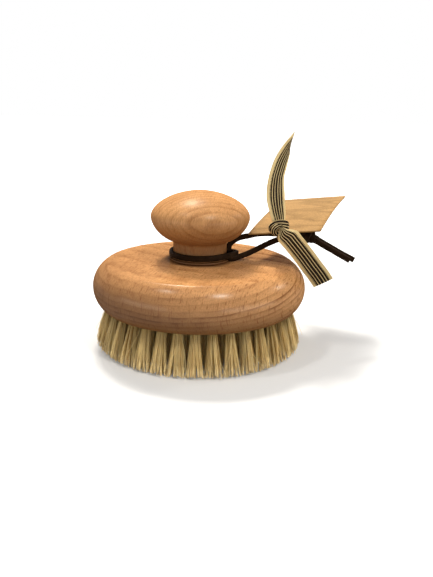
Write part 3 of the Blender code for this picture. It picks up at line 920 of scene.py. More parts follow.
def back_section():
    """Bore, crown, bullnose edge and underside."""
    centre = (BACK_RADIUS - EDGE_ROUND_RADIUS, EQUATOR_Z)
    top_angle = math.asin((RIM_Z - EQUATOR_Z) / EDGE_ROUND_RADIUS)
    low_angle = -math.asin((EQUATOR_Z - BRISTLE_REACH) / EDGE_ROUND_RADIUS)
    edge = arc(centre, EDGE_ROUND_RADIUS, top_angle, low_angle, 34)
    crown = []
    for step in range(CROWN_STEPS + 1):
        share = step / CROWN_STEPS
        radius = BACK_FLAT_RADIUS + (edge[0][0] - BACK_FLAT_RADIUS) * share
        crown.append((radius, RIM_Z + CROWN_RISE * (1 - share**2)))
    middle = (0, BRISTLE_REACH)
    return [
        (0, BORE_FLOOR),
        (BORE_RADIUS, BORE_FLOOR),
        (BORE_RADIUS, SEAT_Z),
        *crown[:-1],
        *eased(crown[-2], edge[0], edge[1], RIM_EASE),
        *edge[2:-2],
        *eased(edge[-2], edge[-1], middle, UNDERSIDE_EASE),
        middle,
    ]


back = turned("turned_back", back_section(), "brush")
back.data.materials.append(BACK_WOOD)
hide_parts("brush_back")

# %% Turn the knob
KNOB_BASE_Z = 0.04925
KNOB_EQUATOR_Z = 0.0734
KNOB_RADIUS = 0.0276
DOME_RISE = 0.0143
DOME_FULLNESS = 1.81
BELLY_CORE_RADIUS = 0.0120
BELLY_DROP = 0.01415
BELLY_FULLNESS = 1.78
BELLY_FILLET = 0.0013
NECK_RADIUS = 0.0151
COVE_RADIUS = 0.0014
FOOT_RADIUS = 0.0172
FOOT_THICKNESS = 0.0010
FOOT_EASE = 0.0003
KNOB_BORE_TOP = 0.06305
DOME_STEPS = 30
BELLY_STEPS = 26


def belly_point(angle):
    across = math.cos(angle) ** (2 / BELLY_FULLNESS)
    down = math.sin(angle) ** (2 / BELLY_FULLNESS)
    radius = BELLY_CORE_RADIUS + (KNOB_RADIUS - BELLY_CORE_RADIUS) * across
    return radius, KNOB_EQUATOR_Z - BELLY_DROP * down


def belly_angle(radius):
    share = (radius - BELLY_CORE_RADIUS) / (KNOB_RADIUS - BELLY_CORE_RADIUS)
    return math.acos(share ** (BELLY_FULLNESS / 2))


def knob_section():
    """Dome, belly, neck, cove, foot and the dowel's bore."""
    dome = []
    for step in range(DOME_STEPS):
        angle = math.pi / 2 * step / DOME_STEPS
        radius = KNOB_RADIUS * math.sin(angle) ** (2 / DOME_FULLNESS)
        rise = DOME_RISE * math.cos(angle) ** (2 / DOME_FULLNESS)
        dome.append((radius, KNOB_EQUATOR_Z + rise))
    last = belly_angle(NECK_RADIUS + BELLY_FILLET)
    belly = [belly_point(last * step / BELLY_STEPS) for step in range(BELLY_STEPS)]
    throat = (NECK_RADIUS, belly_point(belly_angle(NECK_RADIUS))[1])
    fillet = eased(belly_point(last), throat, (NECK_RADIUS, KNOB_BASE_Z), BELLY_FILLET)
    foot_top = KNOB_BASE_Z + FOOT_THICKNESS
    cove_centre = (NECK_RADIUS + COVE_RADIUS, foot_top + COVE_RADIUS)
    cove = arc(cove_centre, COVE_RADIUS, math.pi, 3 * math.pi / 2, 8)
    foot_corner = (FOOT_RADIUS, KNOB_BASE_Z)
    return [
        *dome,
        *belly,
        *fillet,
        *cove,
        *eased(cove[-1], (FOOT_RADIUS, foot_top), foot_corner, FOOT_EASE, 4),
        foot_corner,
        (BORE_RADIUS, KNOB_BASE_Z),
        (BORE_RADIUS, KNOB_BORE_TOP),
        (0, KNOB_BORE_TOP),
    ]


knob = turned("turned_knob", knob_section(), "brush")
knob.data.materials.append(KNOB_WOOD)
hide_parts("knob")

# %% [markdown]
# ## Fine mottle, a second shared effect
#
# Leather, bristle, cotton and veneer are each a little uneven in colour. One group gives
# that unevenness at two sizes, a broad cloud and a fine speckle. Leaving it out would
# make them look like plastic, and building it four times would be four times the work.

# %% Build the mottle group
def build_mottle_group():
    group, start, end = new_group(
        "Fine mottle",
        [("Place", "Vector", None), ("Cloud scale", "Float", 80.0),
         ("Speckle scale", "Float", 900.0)],
        ["Cloud", "Speckle"],
    )
    place = start.outputs["Place"]
    cloud = noise_of(group, place, start.outputs["Cloud scale"], 3, 0.55)
    speckle = noise_of(group, place, start.outputs["Speckle scale"], 4, 0.7)
    set_inputs(group, end, {"Cloud": cloud, "Speckle": speckle})
    return group


MOTTLE = build_mottle_group()
print("group:", MOTTLE.name)

# %% [markdown]
# ## Leather finish
#
# The lace is oiled leather, so dark that it reads as black except where light grazes it.
# Pure black would lose its form, so the colour stays a very dark brown, the cut edges
# are a shade lighter, and the speckle drives both the bump and the roughness.

# %% Dress the laces in leather
LEATHER_DARK = (0.012, 0.0058, 0.0030)
LEATHER_LIGHT = (0.026, 0.0138, 0.0068)
LEATHER_EDGE = (0.034, 0.020, 0.011)


def leather_material():
    material, tree, shader = new_material("dark_oiled_leather")
    coords = node(tree, "TexCoord").outputs
    mottle = use_group(tree, MOTTLE, {"Place": coords["Object"], "Cloud scale": 260})
    across = axes_of(tree, coords["UV"])["X"]
    from_middle = calc(tree, "ABSOLUTE", calc(tree, "SUBTRACT", across, 0.5))
    edge = ramp(tree, from_middle, [(0.40, 0), (0.5, 1)])
    cloud = ramp(tree, mottle["Cloud"], [(0.3, 0), (0.7, 1)])
    skin = mix(tree, cloud, LEATHER_DARK, LEATHER_LIGHT)
    set_inputs(
        tree,
        shader,
        {
            "Base Color": mix(tree, calc(tree, "MULTIPLY", edge, 0.5), skin, LEATHER_EDGE),
            "Roughness": calc(tree, "MULTIPLY_ADD", mottle["Speckle"], 0.25, 0.52),
            "Specular IOR Level": 0.04,
            "Normal": bump(tree, mottle["Speckle"], 0.00012, 0.6),
        },
    )
    return material


LEATHER = leather_material()
for piece in THONG_PIECES:
    piece.data.materials.append(LEATHER)
print("leather on", len(THONG_PIECES), "pieces")

# %% [markdown]
# ## Bristles
#
# Straw-coloured bristle is drawn by the tuft into drilled holes, then trimmed level. A
# hair system would be quick to grow, but it isn't a mesh, and the bristles have to be
# solid things that can be exported. So every strand is a thin three-sided taper with
# four bends. What makes a tuft look real is not the single strand but how strands
# gather: they leave one round hole, fan out, and their tips cling in small clumps.

# %% Settle the tufts
import random

TUFT_RINGS = 5
TUFT_FIELD_RADIUS = 0.050
TUFT_PITCH = 0.0087
FRONT_ANGLE = -math.pi / 2 - math.radians(2)
TIP_SPREAD_SHARE = 1.10
ROOT_DISC_RADIUS = 0.0022
TIP_DISC_OUT = 0.0043
TIP_DISC_ASIDE = 0.0052
INNER_FANNING = 1.25
WORN_TIP_LIFT = 0.0048
FLARE_POWER = 1.08
ROOT_DEPTH = 0.0010
STRANDS_BY_RING = (180, 150, 110, 80, 60)
STRAND_BENDS = 4
STRAND_ROOT_RADIUS = 0.00016
STRAND_TIP_RADIUS = 0.00010
STRAND_WOBBLE = 0.0005
CLUMPS = 26
CLUMP_PULL = 0.50
CLUMP_SHADE = 0.55
TIP_UNEVENNESS = 0.0009
TIP_JITTER = 0.0002
STRAYS = 34
STRAY_ASIDE = 0.007
STRAY_HEIGHTS = (0.001, 0.006)
STRAY_WOBBLE = 0.002


def disc_point(rng, outwards, aside):
    """Even chance of any place in an oval."""
    distance = math.sqrt(rng.random())
    angle = rng.uniform(0, 2 * math.pi)
    return Vector((distance * math.cos(angle) * outwards, distance * math.sin(angle) * aside))


def strand_line(rng, ring_radius, root, tip, tip_height, wobble):
    """Points of one strand in its tuft's own frame: X outwards, Y sideways, Z up."""
    top = BRISTLE_REACH + ROOT_DEPTH
    tip_radius = ring_radius * TIP_SPREAD_SHARE
    side_drift = Vector((rng.uniform(-1, 1), rng.uniform(-1, 1))) * wobble
    line = []
    for bend in range(STRAND_BENDS + 1):
        share = bend / STRAND_BENDS
        flare = 1 - (1 - share) ** FLARE_POWER
        sway = math.sin(math.pi * share)
        x = ring_radius + root.x + (tip_radius + tip.x - ring_radius - root.x) * flare
        y = root.y + (tip.y - root.y) * share**1.5
        height = top + (tip_height - top) * share
        line.append((x + side_drift.x * sway, y + side_drift.y * sway, height))
    return line


print("strands in a tuft, by ring:", STRANDS_BY_RING)

# %% Grow one tuft
def add_strand(data, line, angle, shade):
    """Three-sided taper along the line, turned to its tuft's place on the ring."""
    verts, faces, shades = data
    base = len(verts)
    cos_a, sin_a = math.cos(angle), math.sin(angle)
    for bend, (x, y, z) in enumerate(line):
        share = bend / STRAND_BENDS
        size = STRAND_ROOT_RADIUS + (STRAND_TIP_RADIUS - STRAND_ROOT_RADIUS) * share
        for corner in range(3):
            spin = 2 * math.pi * corner / 3 + shade * math.pi
            px, py = x + size * math.cos(spin), y + size * math.sin(spin)
            verts.append((px * cos_a - py * sin_a, px * sin_a + py * cos_a, z))
            shades.append(shade)
    for bend in range(STRAND_BENDS):
        for corner in range(3):
            a = base + 3 * bend + corner
            b = base + 3 * bend + (corner + 1) % 3
            faces.append((b, a, a + 3, b + 3))
    last = base + 3 * STRAND_BENDS
    faces.append((last, last + 1, last + 2))


def grow_tuft(rng, data, ring_radius, angle, strands, fanning=1.0, lift=0.0):
    out, aside = TIP_DISC_OUT * fanning, TIP_DISC_ASIDE * fanning
    clumps = [disc_point(rng, out, aside) for _ in range(CLUMPS)]
    clump_heights = [TIP_UNEVENNESS * rng.random() for _ in range(CLUMPS)]
    clump_shades = [rng.random() for _ in range(CLUMPS)]
    for _ in range(strands):
        root = disc_point(rng, ROOT_DISC_RADIUS, ROOT_DISC_RADIUS)
        tip = Vector((root.x * out, root.y * aside)) / ROOT_DISC_RADIUS
        nearest = min(range(CLUMPS), key=lambda i: (clumps[i] - tip).length)
        tip = tip.lerp(clumps[nearest], CLUMP_PULL)
        tip_height = clump_heights[nearest] * rng.uniform(0.5, 1) + TIP_JITTER * rng.random()
        tip_height += lift * (max(0, tip.x) / out) ** 2 * rng.uniform(0.7, 1)
        shade = CLUMP_SHADE * clump_shades[nearest] + (1 - CLUMP_SHADE) * rng.random()
        line = strand_line(rng, ring_radius, root, tip, tip_height, STRAND_WOBBLE)
        add_strand(data, line, angle, shade)


def grow_strays(rng, data, ring_radius):
    """Loose strands that lean across their neighbours."""
    for stray in range(STRAYS):
        angle = FRONT_ANGLE + 2 * math.pi * (stray + rng.random()) / STRAYS
        root = disc_point(rng, ROOT_DISC_RADIUS, ROOT_DISC_RADIUS)
        out = rng.uniform(0.5, 1.2) * TIP_DISC_OUT
        tip = Vector((out, rng.choice((-1, 1)) * STRAY_ASIDE))
        tip_height = rng.uniform(*STRAY_HEIGHTS)
        line = strand_line(rng, ring_radius, root, tip, tip_height, STRAY_WOBBLE)
        add_strand(data, line, angle, 1)


print("each tuft gathers into", CLUMPS, "clumps")

# %% Grow the rings of tufts
def grow_ring(index):
    """Mesh piece for one ring of tufts. The last ring has the middle tuft too.

    Every second ring is staggered by half a tuft, so that no lane stays open.
    """
    rng = random.Random(100 + index)
    ring_radius = TUFT_FIELD_RADIUS * (1 - index / TUFT_RINGS)
    tufts = int(2 * math.pi * ring_radius / TUFT_PITCH)
    strands = STRANDS_BY_RING[index]
    fanning, lift = (INNER_FANNING, 0) if index else (1, WORN_TIP_LIFT)
    stagger = index % 2 / 2
    data = ([], [], [])
    for tuft in range(tufts):
        angle = FRONT_ANGLE + 2 * math.pi * (tuft + stagger) / tufts
        grow_tuft(rng, data, ring_radius, angle, strands, fanning, lift)
    if index == TUFT_RINGS - 1:
        grow_tuft(rng, data, 0, FRONT_ANGLE, strands, fanning)
    if index == 0:
        grow_strays(rng, data, ring_radius)

    verts, faces, shades = data
    mesh = bpy.data.meshes.new(f"bristle_ring_{index + 1}")
    mesh.from_pydata(verts, [], faces)
    attribute = mesh.attributes.new("shade", "FLOAT", "POINT")
    attribute.data.foreach_set("value", shades)
    mesh.shade_smooth()
    ring = new_object(mesh.name, mesh)
    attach(ring, "brush")
    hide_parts(f"tuft_ring_{index + 1}")
    print(ring.name, tufts, "tufts,", len(faces), "faces")
    return ring


BRISTLE_RINGS = [grow_ring(index) for index in range(TUFT_RINGS)]

# %% [markdown]
# ## Bristle finish
#
# Each strand carries one number, its own shade, so neighbours differ as real ones do.
# Colour also changes with height: painted shade darkens the strands by the hole, where little
# light gets in, and painted light pales them at the trimmed tips, as light off the floor
# would.
# The strands are a touch glossy, which gives the streaks.

# %% Colour the bristles
BRISTLE_DARK = (0.37, 0.19, 0.035)
BRISTLE_LIGHT = (1.0, 0.83, 0.45)
BRISTLE_CLOUD = (0.82, 0.52, 0.16)
# painted light at the tips and painted shade by the roots, both set by height
BRISTLE_TIP_PAINTED_LIGHT = (1.0, 0.87, 0.57)
BRISTLE_ROOT_SHADE = (0.34, 0.21, 0.06)
TIP_LIGHT_HEIGHT = 0.010
TIP_LIGHT_STRENGTH = 0.45
ROOT_SHADE_HEIGHTS = (0.012, 0.0235)
ROOT_SHADE_STRENGTH = 0.40


def bristle_material():
    material, tree, shader = new_material("straw_bristle")
    coords = node(tree, "TexCoord").outputs["Object"]
    shade = node(tree, "Attribute", attribute_name="shade").outputs["Fac"]
    mottle = use_group(
        tree, MOTTLE, {"Place": coords, "Cloud scale": 60, "Speckle scale": 700}
    )
    spread = ramp(tree, shade, [(0.10, 0), (0.42, 1)])
    own = mix(tree, spread, BRISTLE_DARK, BRISTLE_LIGHT)
    cloud = ramp(tree, mottle["Cloud"], [(0.35, 0), (0.65, 0.15)])
    clouded = mix(tree, cloud, own, BRISTLE_CLOUD)
    height = axes_of(tree, coords)["Z"]
    # painted light: paler strands near the tips
    tip_light = fade(tree, height, 0, TIP_LIGHT_HEIGHT, TIP_LIGHT_STRENGTH, 0)
    tip_lit = mix(tree, tip_light, clouded, BRISTLE_TIP_PAINTED_LIGHT)
    # painted shade: darker strands by the holes
    root_shade = fade(tree, height, *ROOT_SHADE_HEIGHTS, 0, ROOT_SHADE_STRENGTH)
    set_inputs(
        tree,
        shader,
        {
            "Base Color": mix(tree, root_shade, tip_lit, BRISTLE_ROOT_SHADE),
            "Roughness": calc(tree, "MULTIPLY_ADD", mottle["Speckle"], 0.2, 0.42),
            "Specular IOR Level": 0.1,
            "Normal": bump(tree, mottle["Speckle"], 0.00002, 0.4),
        },
    )
    return material


BRISTLE = bristle_material()
for ring in BRISTLE_RINGS:
    ring.data.materials.append(BRISTLE)
print("bristle rings:", len(BRISTLE_RINGS))

# %% [markdown]
# ## Striped ribbon
#
# A woven cotton ribbon, 12 mm wide, ties the tag to the thong. It is knotted once, with
# one end standing up and the other hanging down to the front. Simulating a knot in cloth
# is slow and seldom tight, so each end is a swept strip with a shallow channel in it, and
# the knot is wound from bands of the same ribbon, bulged as cloth is when pulled tight.

# %% Strip sections and tails
RIBBON_WIDTH = 0.0120
RIBBON_THICKNESS = 0.00045
RIBBON_STEP = 0.0010
RIBBON_COLUMNS = 12
SELVAGE_THINNING = 0.45
UPPER_CUT = 0.0070
CUT_BLUNTNESS = 0.06
UPPER_RIBBON = millimetres(
    [
        (42.0, -7.6, 71.0), (41.4, -8.0, 74.0), (40.9, -8.2, 78.5), (40.6, -7.8, 84.5),
        (40.3, -7.3, 91.0), (40.7, -6.7, 97.0), (42.5, -5.5, 103.5), (44.6, -4.0, 108.3),
        (46.9, -2.2, 112.4), (49.9, 0.3, 116.4),
    ]
)
LOWER_RIBBON = millimetres(
    [
        (44.4, -11.6, 69.8), (46.0, -13.6, 67.6), (48.7, -15.0, 64.4), (52.7, -15.4, 59.8),
        (57.1, -15.0, 54.5), (61.4, -14.0, 49.0), (65.6, -12.8, 43.8), (68.9, -11.8, 39.2),
    ]
)


def strip_section(left, right, channel, thickness=RIBBON_THICKNESS, span=(0, 1)):
    """Thin strip from left to right of the route, dished by the channel's depth.

    The span is the part of the ribbon's pattern that the strip shows.
    """
    outer, inner = [], []
    for column in range(RIBBON_COLUMNS + 1):
        share = 2 * column / RIBBON_COLUMNS - 1
        x = (right - left) / 2 + (right + left) / 2 * share
        lift = channel * (1 - share**2)
        taper = thickness / 2 * (1 - SELVAGE_THINNING * abs(share) ** 8)
        place = span[0] + (span[1] - span[0]) * (share + 1) / 2
        outer.append((x, lift + taper, place))
        inner.append((x, lift - taper, place))
    return outer + inner[::-1]


def opened(half, shares, distance):
    """Half width at a distance from the knot. shares is (share at the knot, length)."""
    opening = eased_share(min(1, distance / shares[1]))
    return half * (shares[0] + (1 - shares[0]) * opening)


def ribbon_tail(route, wide_keys, left_opens, right_opens, channel, cut=0):
    """Loose end of the ribbon, squeezed by the knot and open further on.

    The cut is the length over which the end is trimmed slantwise to a point.
    """
    path = smooth_route(route, RIBBON_STEP)
    sections = []
    for index in range(len(path)):
        distance = index * RIBBON_STEP
        left = opened(RIBBON_WIDTH / 2, left_opens, distance)
        right = opened(RIBBON_WIDTH / 2, right_opens, distance)
        flatness = opened(1, (0, right_opens[1]), distance)
        depth = channel[0] + (channel[1] - channel[0]) * flatness
        from_end = (len(path) - 1 - index) * RIBBON_STEP
        kept = min(1, CUT_BLUNTNESS + from_end / cut) if cut else 1
        right = right * kept - left * (1 - kept)
        sections.append(strip_section(left, right, depth * kept, span=(0, kept)))
    bm = bmesh.new()
    sweep(bm, path, spread_directions(len(path), wide_keys), sections, RIBBON_WIDTH)
    return bm, path


print("ribbon", RIBBON_WIDTH, "wide")

# %% Sweep the two ends
bm, upper_ribbon_path = ribbon_tail(
    UPPER_RIBBON,
    [
        (0, (0.93, 0.36, 0)), (0.3, (0.88, 0.47, 0)), (0.6, (0.74, 0.67, 0)),
        (1, (0.42, 0.90, -0.1)),
    ],
    left_opens=(0.40, 0.016),
    right_opens=(0.85, 0.006),
    channel=(-0.0014, -0.0004),
    cut=UPPER_CUT,
)
upper_tail = add_piece("ribbon_upper_tail", bm, "thong")
bm, lower_ribbon_path = ribbon_tail(
    LOWER_RIBBON,
    [
        (0, (0.97, -0.20, 0.10)), (0.12, (0.90, -0.30, 0.30)), (0.25, (0.82, -0.34, 0.46)),
        (1, (0.78, -0.28, 0.55)),
    ],
    left_opens=(0.35, 0.005),
    right_opens=(0.12, 0.0078),
    channel=(0.0018, 0.0003),
)
lower_tail = add_piece("ribbon_lower_tail", bm, "thong")
for ribbon_path in (upper_ribbon_path, lower_ribbon_path):
    print("ribbon end, length", round(route_length(ribbon_path), 4))

# %% Wind the knot's core
RIBBON_KNOT_CENTRE = Vector((0.0435, -0.0078, 0.0694))
WINDING_STEPS = 56
WINDING_BULGE = 0.0009


def winding(bm, axis, sizes, width):
    """Closed band round an axis, bulged outwards, with the ribbon's stripes round it."""
    axis = Vector(axis).normalized()
    first = Vector((1, 0, 0))
    first = (first - axis * first.dot(axis)).normalized()
    second = axis.cross(first)
    path = []
    for step in range(WINDING_STEPS):
        angle = 2 * math.pi * step / WINDING_STEPS
        path.append(
            RIBBON_KNOT_CENTRE
            + first * (math.cos(angle) * sizes[0])
            + second * (math.sin(angle) * sizes[1])
        )
    section = strip_section(width / 2, width / 2, -WINDING_BULGE, 2 * RIBBON_THICKNESS)
    sections = [section] * WINDING_STEPS
    sweep(bm, path, [axis] * WINDING_STEPS, sections, RIBBON_WIDTH, closed=True)


bm = bmesh.new()
winding(bm, axis=(-0.42, -0.1, 1), sizes=(0.0034, 0.0028), width=0.0052)
winding(bm, axis=(0.5, -0.75, 0.3), sizes=(0.0026, 0.0028), width=0.0050)
print("core of the ribbon's knot at", [round(value, 4) for value in RIBBON_KNOT_CENTRE])

# %% Lay the knot's outer turns
FOLD_THICKNESS = 0.0009
OVER_TURN = millimetres(
    [
        (38.9, -6.6, 67.4), (38.6, -9.0, 69.0), (39.0, -10.2, 70.4), (40.2, -11.0, 71.4),
        (42.1, -11.5, 72.0), (44.5, -11.6, 71.9), (46.3, -10.9, 71.3), (47.2, -9.4, 70.6),
        (47.2, -7.4, 70.1), (46.2, -5.6, 69.8),
    ]
)
UNDER_TURN = millimetres(
    [
        (45.4, -10.2, 70.9), (43.6, -11.6, 71.0), (41.6, -12.1, 70.4), (40.3, -12.0, 69.2),
        (40.2, -11.2, 67.8), (40.9, -9.8, 66.6), (42.0, -7.8, 65.8),
    ]
)


def flat_turn(bm, route, wide_keys, widths, bulge, span):
    """Turn of squeezed ribbon, bulged away from the knot's core."""
    path = smooth_route(route, RIBBON_STEP / 2)
    sections = []
    for index in range(len(path)):
        half = (widths[0] + (widths[1] - widths[0]) * index / (len(path) - 1)) / 2
        sections.append(strip_section(half, half, bulge, FOLD_THICKNESS, span))
    sweep(bm, path, spread_directions(len(path), wide_keys), sections, RIBBON_WIDTH)


flat_turn(
    bm,
    OVER_TURN,
    [(0, (-1, 0, 0.1)), (0.25, (-0.8, 0, 0.6)), (0.45, (-0.25, 0, 1)), (1, (0, 0, 1))],
    widths=(0.0022, 0.0062),
    bulge=0.0008,
    span=(0.13, 0.58),
)
flat_turn(
    bm,
    UNDER_TURN,
    [(0, (0.1, 0, -1)), (0.4, (0.7, 0, -0.7)), (0.6, (1, 0, 0)), (1, (1, 0, 0.3))],
    widths=(0.0030, 0.0044),
    bulge=0.0010,
    span=(0.24, 0.72),
)
print("outer turns:", len(OVER_TURN), "and", len(UNDER_TURN), "points")

# %% Pass the noose round the laces
NOOSE_SIZE = (0.0016, 0.0012)
NOOSE_ROUTE = millimetres(
    [
        (43.4, -7.6, 66.6), (43.0, -6.6, 64.4), (43.6, -4.4, 62.6), (44.8, -2.2, 62.9),
        (45.3, -1.6, 64.6), (45.0, -2.4, 66.8), (44.6, -4.0, 68.6),
    ]
)
noose_path = smooth_route(NOOSE_ROUTE, RIBBON_STEP / 2)
noose_wides = spread_directions(len(noose_path), [(0, (1, 0, 0))])
noose_sections = [rounded_section(*NOOSE_SIZE)] * len(noose_path)
sweep(bm, noose_path, noose_wides, noose_sections, RIBBON_WIDTH)
ribbon_knot = add_piece("ribbon_knot", bm, "thong")

RIBBON_PIECES = (upper_tail, lower_tail, ribbon_knot)
for piece in RIBBON_PIECES:
    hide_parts("ribbon")

# %% [markdown]
# ## Ribbon finish
#
# The stripes run with the warp: cream edges, four narrow dark lines and one broad dark
# line in the middle. The UV map already says how far across the ribbon a point is, so a
# ramp of hard steps draws the stripes. A fine twill, drawn from the same map, breaks
# their edges into threads and gives the bump, as a flat print would not.

# %% Weave the stripes
STRIPES = (
    (0.00, 0), (0.14, 1), (0.265, 0), (0.30, 1), (0.405, 0), (0.435, 1), (0.565, 0),
    (0.60, 1), (0.70, 0), (0.735, 1), (0.875, 0),
)
STITCHED = ((0.00, 0), (0.14, 1), (0.185, 0), (0.83, 1), (0.875, 0))
WARP_THREADS = 44
WEFT_THREADS = 36
STITCHES = 18
RIBBON_CREAMS = ((1.0, 0.86, 0.52), (0.88, 0.70, 0.37))
RIBBON_DARKS = ((0.006, 0.005, 0.007), (0.018, 0.012, 0.009))
RIBBON_FRAYING = 0.014


def wave(tree, value, count):
    """Sine wave between 0 and 1, with the count of crests in one unit."""
    sine = calc(tree, "SINE", calc(tree, "MULTIPLY", value, count * 2 * math.pi))
    return calc(tree, "MULTIPLY_ADD", sine, 0.5, 0.5)


def ribbon_darkness(tree, across, along, twill):
    """1 on the dark stripes, less where light threads or stitches break them."""
    gaps = calc(
        tree,
        "MULTIPLY",
        ramp(tree, across, STITCHED, "CONSTANT"),
        ramp(tree, wave(tree, along, STITCHES), [(0.45, 0), (0.6, 1)]),
    )
    specks = calc(tree, "MULTIPLY", ramp(tree, twill, [(0.75, 0), (0.95, 1)]), 0.05)
    woven = calc(tree, "SUBTRACT", 1.0, calc(tree, "MAXIMUM", gaps, specks))
    return calc(tree, "MULTIPLY", ramp(tree, across, STRIPES, "CONSTANT"), woven)


def ribbon_material():
    material, tree, shader = new_material("striped_cotton_ribbon")
    coords = node(tree, "TexCoord").outputs
    mottle = use_group(
        tree, MOTTLE, {"Place": coords["Object"], "Cloud scale": 120, "Speckle scale": 1600}
    )
    uv = axes_of(tree, coords["UV"])
    warp = calc(tree, "MULTIPLY", uv["X"], WARP_THREADS)
    weft = calc(tree, "MULTIPLY", uv["Y"], WEFT_THREADS)
    twill = wave(tree, calc(tree, "ADD", warp, weft), 0.5)
    ribs = wave(tree, uv["Y"], WEFT_THREADS)
    drift = calc(tree, "SUBTRACT", mottle["Speckle"], 0.5)
    frayed = calc(tree, "MULTIPLY_ADD", drift, RIBBON_FRAYING, uv["X"])
    cream = mix(tree, mottle["Cloud"], *RIBBON_CREAMS)
    dark = mix(tree, mottle["Cloud"], *RIBBON_DARKS)
    striped = mix(tree, ribbon_darkness(tree, frayed, uv["Y"], twill), cream, dark)
    shading = ramp(tree, twill, [(0, 0.82), (1, 1.06)])
    set_inputs(
        tree,
        shader,
        {
            "Base Color": mix(tree, 1, striped, shading, "MULTIPLY"),
            "Roughness": calc(tree, "MULTIPLY_ADD", mottle["Speckle"], 0.2, 0.75),
            "Specular IOR Level": 0.05,
            "Normal": bump(tree, calc(tree, "ADD", twill, ribs), 0.00008, 0.6),
        },
    )
    return material


RIBBON = ribbon_material()
for piece in RIBBON_PIECES:
    piece.data.materials.append(RIBBON)
print("dark ribbon stripes:", sum(level for _, level in STRIPES))

# %% [markdown]
# ## Tag
#
# The tag is a stiff sheet of pale veneer, punched once and hung on the ribbon. A flat
# box would do for the physics, but real veneer bows a little as it dries. The sheet is a
# grid with a round hole, bowed up along its middle, with thickness added last.

# %% Place and bow of the tag
TAG_WIDTH = 0.0417
TAG_LENGTH = 0.0713
TAG_THICKNESS = 0.0007
TAG_FROM_NEAR = 0.0056
TAG_FROM_LEFT = 0.0171
TAG_HOLE_RADIUS = 0.0035
TAG_HOLE_CENTRE = Vector((0.0443, -0.0032, 0.0669))
TAG_TRIM = 0.0021
TAG_RISE = (0.20, 0.07)
TAG_HEADING = math.radians(-24.5)
TAG_CORNER = 0.0006
BOW_LEFT = 0.0020
BOW_RIGHT = 0.0013
HOLE_STEPS = 32
TAG_CUTS = 14


def tag_matrix():
    """Place of the tag: origin in its hole, X along its near edge, Z its upper side."""
    normal = Vector((-TAG_RISE[0], -TAG_RISE[1], 1)).normalized()
    flat = Vector((math.cos(TAG_HEADING), math.sin(TAG_HEADING), 0))
    along = (flat - normal * flat.dot(normal)).normalized()
    turn = Matrix((along, normal.cross(along), normal)).transposed()
    return Matrix.Translation(TAG_HOLE_CENTRE) @ turn.to_4x4()


def tag_bow(x, y):
    """Height of the bowed sheet over its own flat plane."""
    across = (x + TAG_FROM_LEFT) / TAG_WIDTH
    along = (y + TAG_FROM_NEAR) / TAG_LENGTH
    return (BOW_LEFT + (BOW_RIGHT - BOW_LEFT) * across) * math.sin(math.pi * along)


print("tag hangs from", [round(value, 4) for value in TAG_HOLE_CENTRE])

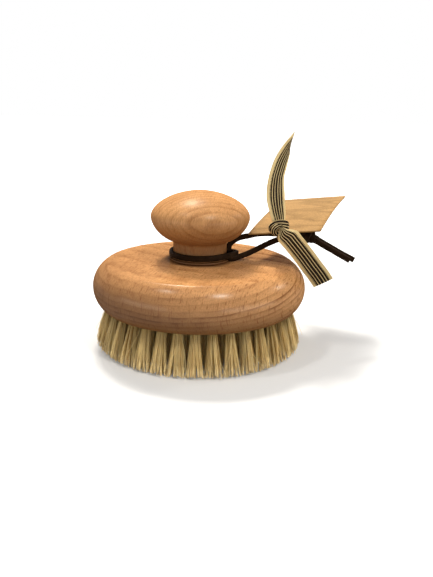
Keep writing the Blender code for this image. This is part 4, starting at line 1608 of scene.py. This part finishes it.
# %% Cut and bend the tag
def build_tag():
    left, near = -TAG_FROM_LEFT, -TAG_FROM_NEAR
    right, far = left + TAG_WIDTH, near + TAG_LENGTH - TAG_TRIM
    bm = bmesh.new()
    uv = bm.loops.layers.uv.verify()
    corners = [(left, near), (right, near), (right - TAG_TRIM, far), (left, far)]
    outline = []
    for before, corner, after in zip(
        corners[-1:] + corners[:-1], corners, corners[1:] + corners[:1]
    ):
        outline += eased(before, corner, after, TAG_CORNER, 3)
    hole = arc((0, 0), TAG_HOLE_RADIUS, 0, 2 * math.pi, HOLE_STEPS)[:-1]
    edges = []
    for ring in (outline, hole):
        verts = [bm.verts.new((x, y, 0)) for x, y in ring]
        edges += [bm.edges.new((a, b)) for a, b in zip(verts, verts[1:] + verts[:1])]
    bmesh.ops.triangle_fill(bm, edges=edges, use_beauty=True)
    for axis, low, high in (((1, 0, 0), left, right), ((0, 1, 0), near, far)):
        for cut in range(1, TAG_CUTS):
            place = low + (high - low) * cut / TAG_CUTS
            bmesh.ops.bisect_plane(
                bm,
                geom=bm.verts[:] + bm.edges[:] + bm.faces[:],
                plane_co=Vector(axis) * place,
                plane_no=axis,
            )
    for face in bm.faces:
        for loop in face.loops:
            x, y = loop.vert.co.xy
            loop[uv].uv = ((x - left) / TAG_WIDTH, (y - near) / TAG_WIDTH)
    for vert in bm.verts:
        vert.co.z = tag_bow(*vert.co.xy)
    bmesh.ops.transform(bm, matrix=tag_matrix(), verts=bm.verts)
    return bm


tag = add_piece("veneer_tag", build_tag(), "tag")
thickness = tag.modifiers.new("Thickness", "SOLIDIFY")
thickness.thickness = TAG_THICKNESS
thickness.offset = 0
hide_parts("tag")

# %% Veneer finish
VENEER_LIGHT = (0.46, 0.277, 0.112)
VENEER_DARK = (0.29, 0.172, 0.064)
VENEER_CLOUD = (0.40, 0.240, 0.100)


def veneer_material():
    material, tree, shader = new_material("pale_veneer")
    coords = node(tree, "TexCoord").outputs
    mottle = use_group(
        tree, MOTTLE, {"Place": coords["Object"], "Cloud scale": 55, "Speckle scale": 1100}
    )
    crosswise = stretched(tree, coords["UV"], (0.8, 2.2, 1))
    swirl = noise_of(tree, crosswise, 1.2, 1.5, 0.4, 0.3)
    rings = calc(tree, "FRACT", calc(tree, "MULTIPLY", swirl, 4))
    figure = ramp(tree, rings, [(0, 0), (0.5, 0.15), (0.82, 1), (1, 0)])
    base = mix(tree, calc(tree, "MULTIPLY", figure, 0.85), VENEER_LIGHT, VENEER_DARK)
    fibre = noise_of(tree, stretched(tree, coords["UV"], (7, 80, 1)), 1, 3, 0.6)
    fibres = ramp(tree, fibre, [(0.32, 0.80), (0.68, 1.10)])
    streaked = mix(tree, 1, base, fibres, "MULTIPLY")
    specks = ramp(tree, mottle["Speckle"], [(0.38, 0.78), (0.62, 1.12)])
    specked = mix(tree, 1, streaked, specks, "MULTIPLY")
    cloud = ramp(tree, mottle["Cloud"], [(0.4, 0), (0.7, 0.25)])
    set_inputs(
        tree,
        shader,
        {
            "Base Color": mix(tree, cloud, specked, VENEER_CLOUD),
            "Specular IOR Level": 0.15,
            "Roughness": calc(tree, "MULTIPLY_ADD", mottle["Speckle"], 0.15, 0.62),
            "Normal": bump(tree, calc(tree, "ADD", fibre, mottle["Speckle"]), 0.00005, 0.5),
        },
    )
    return material


tag.data.materials.append(veneer_material())
print("tag", TAG_WIDTH, "by", TAG_LENGTH)
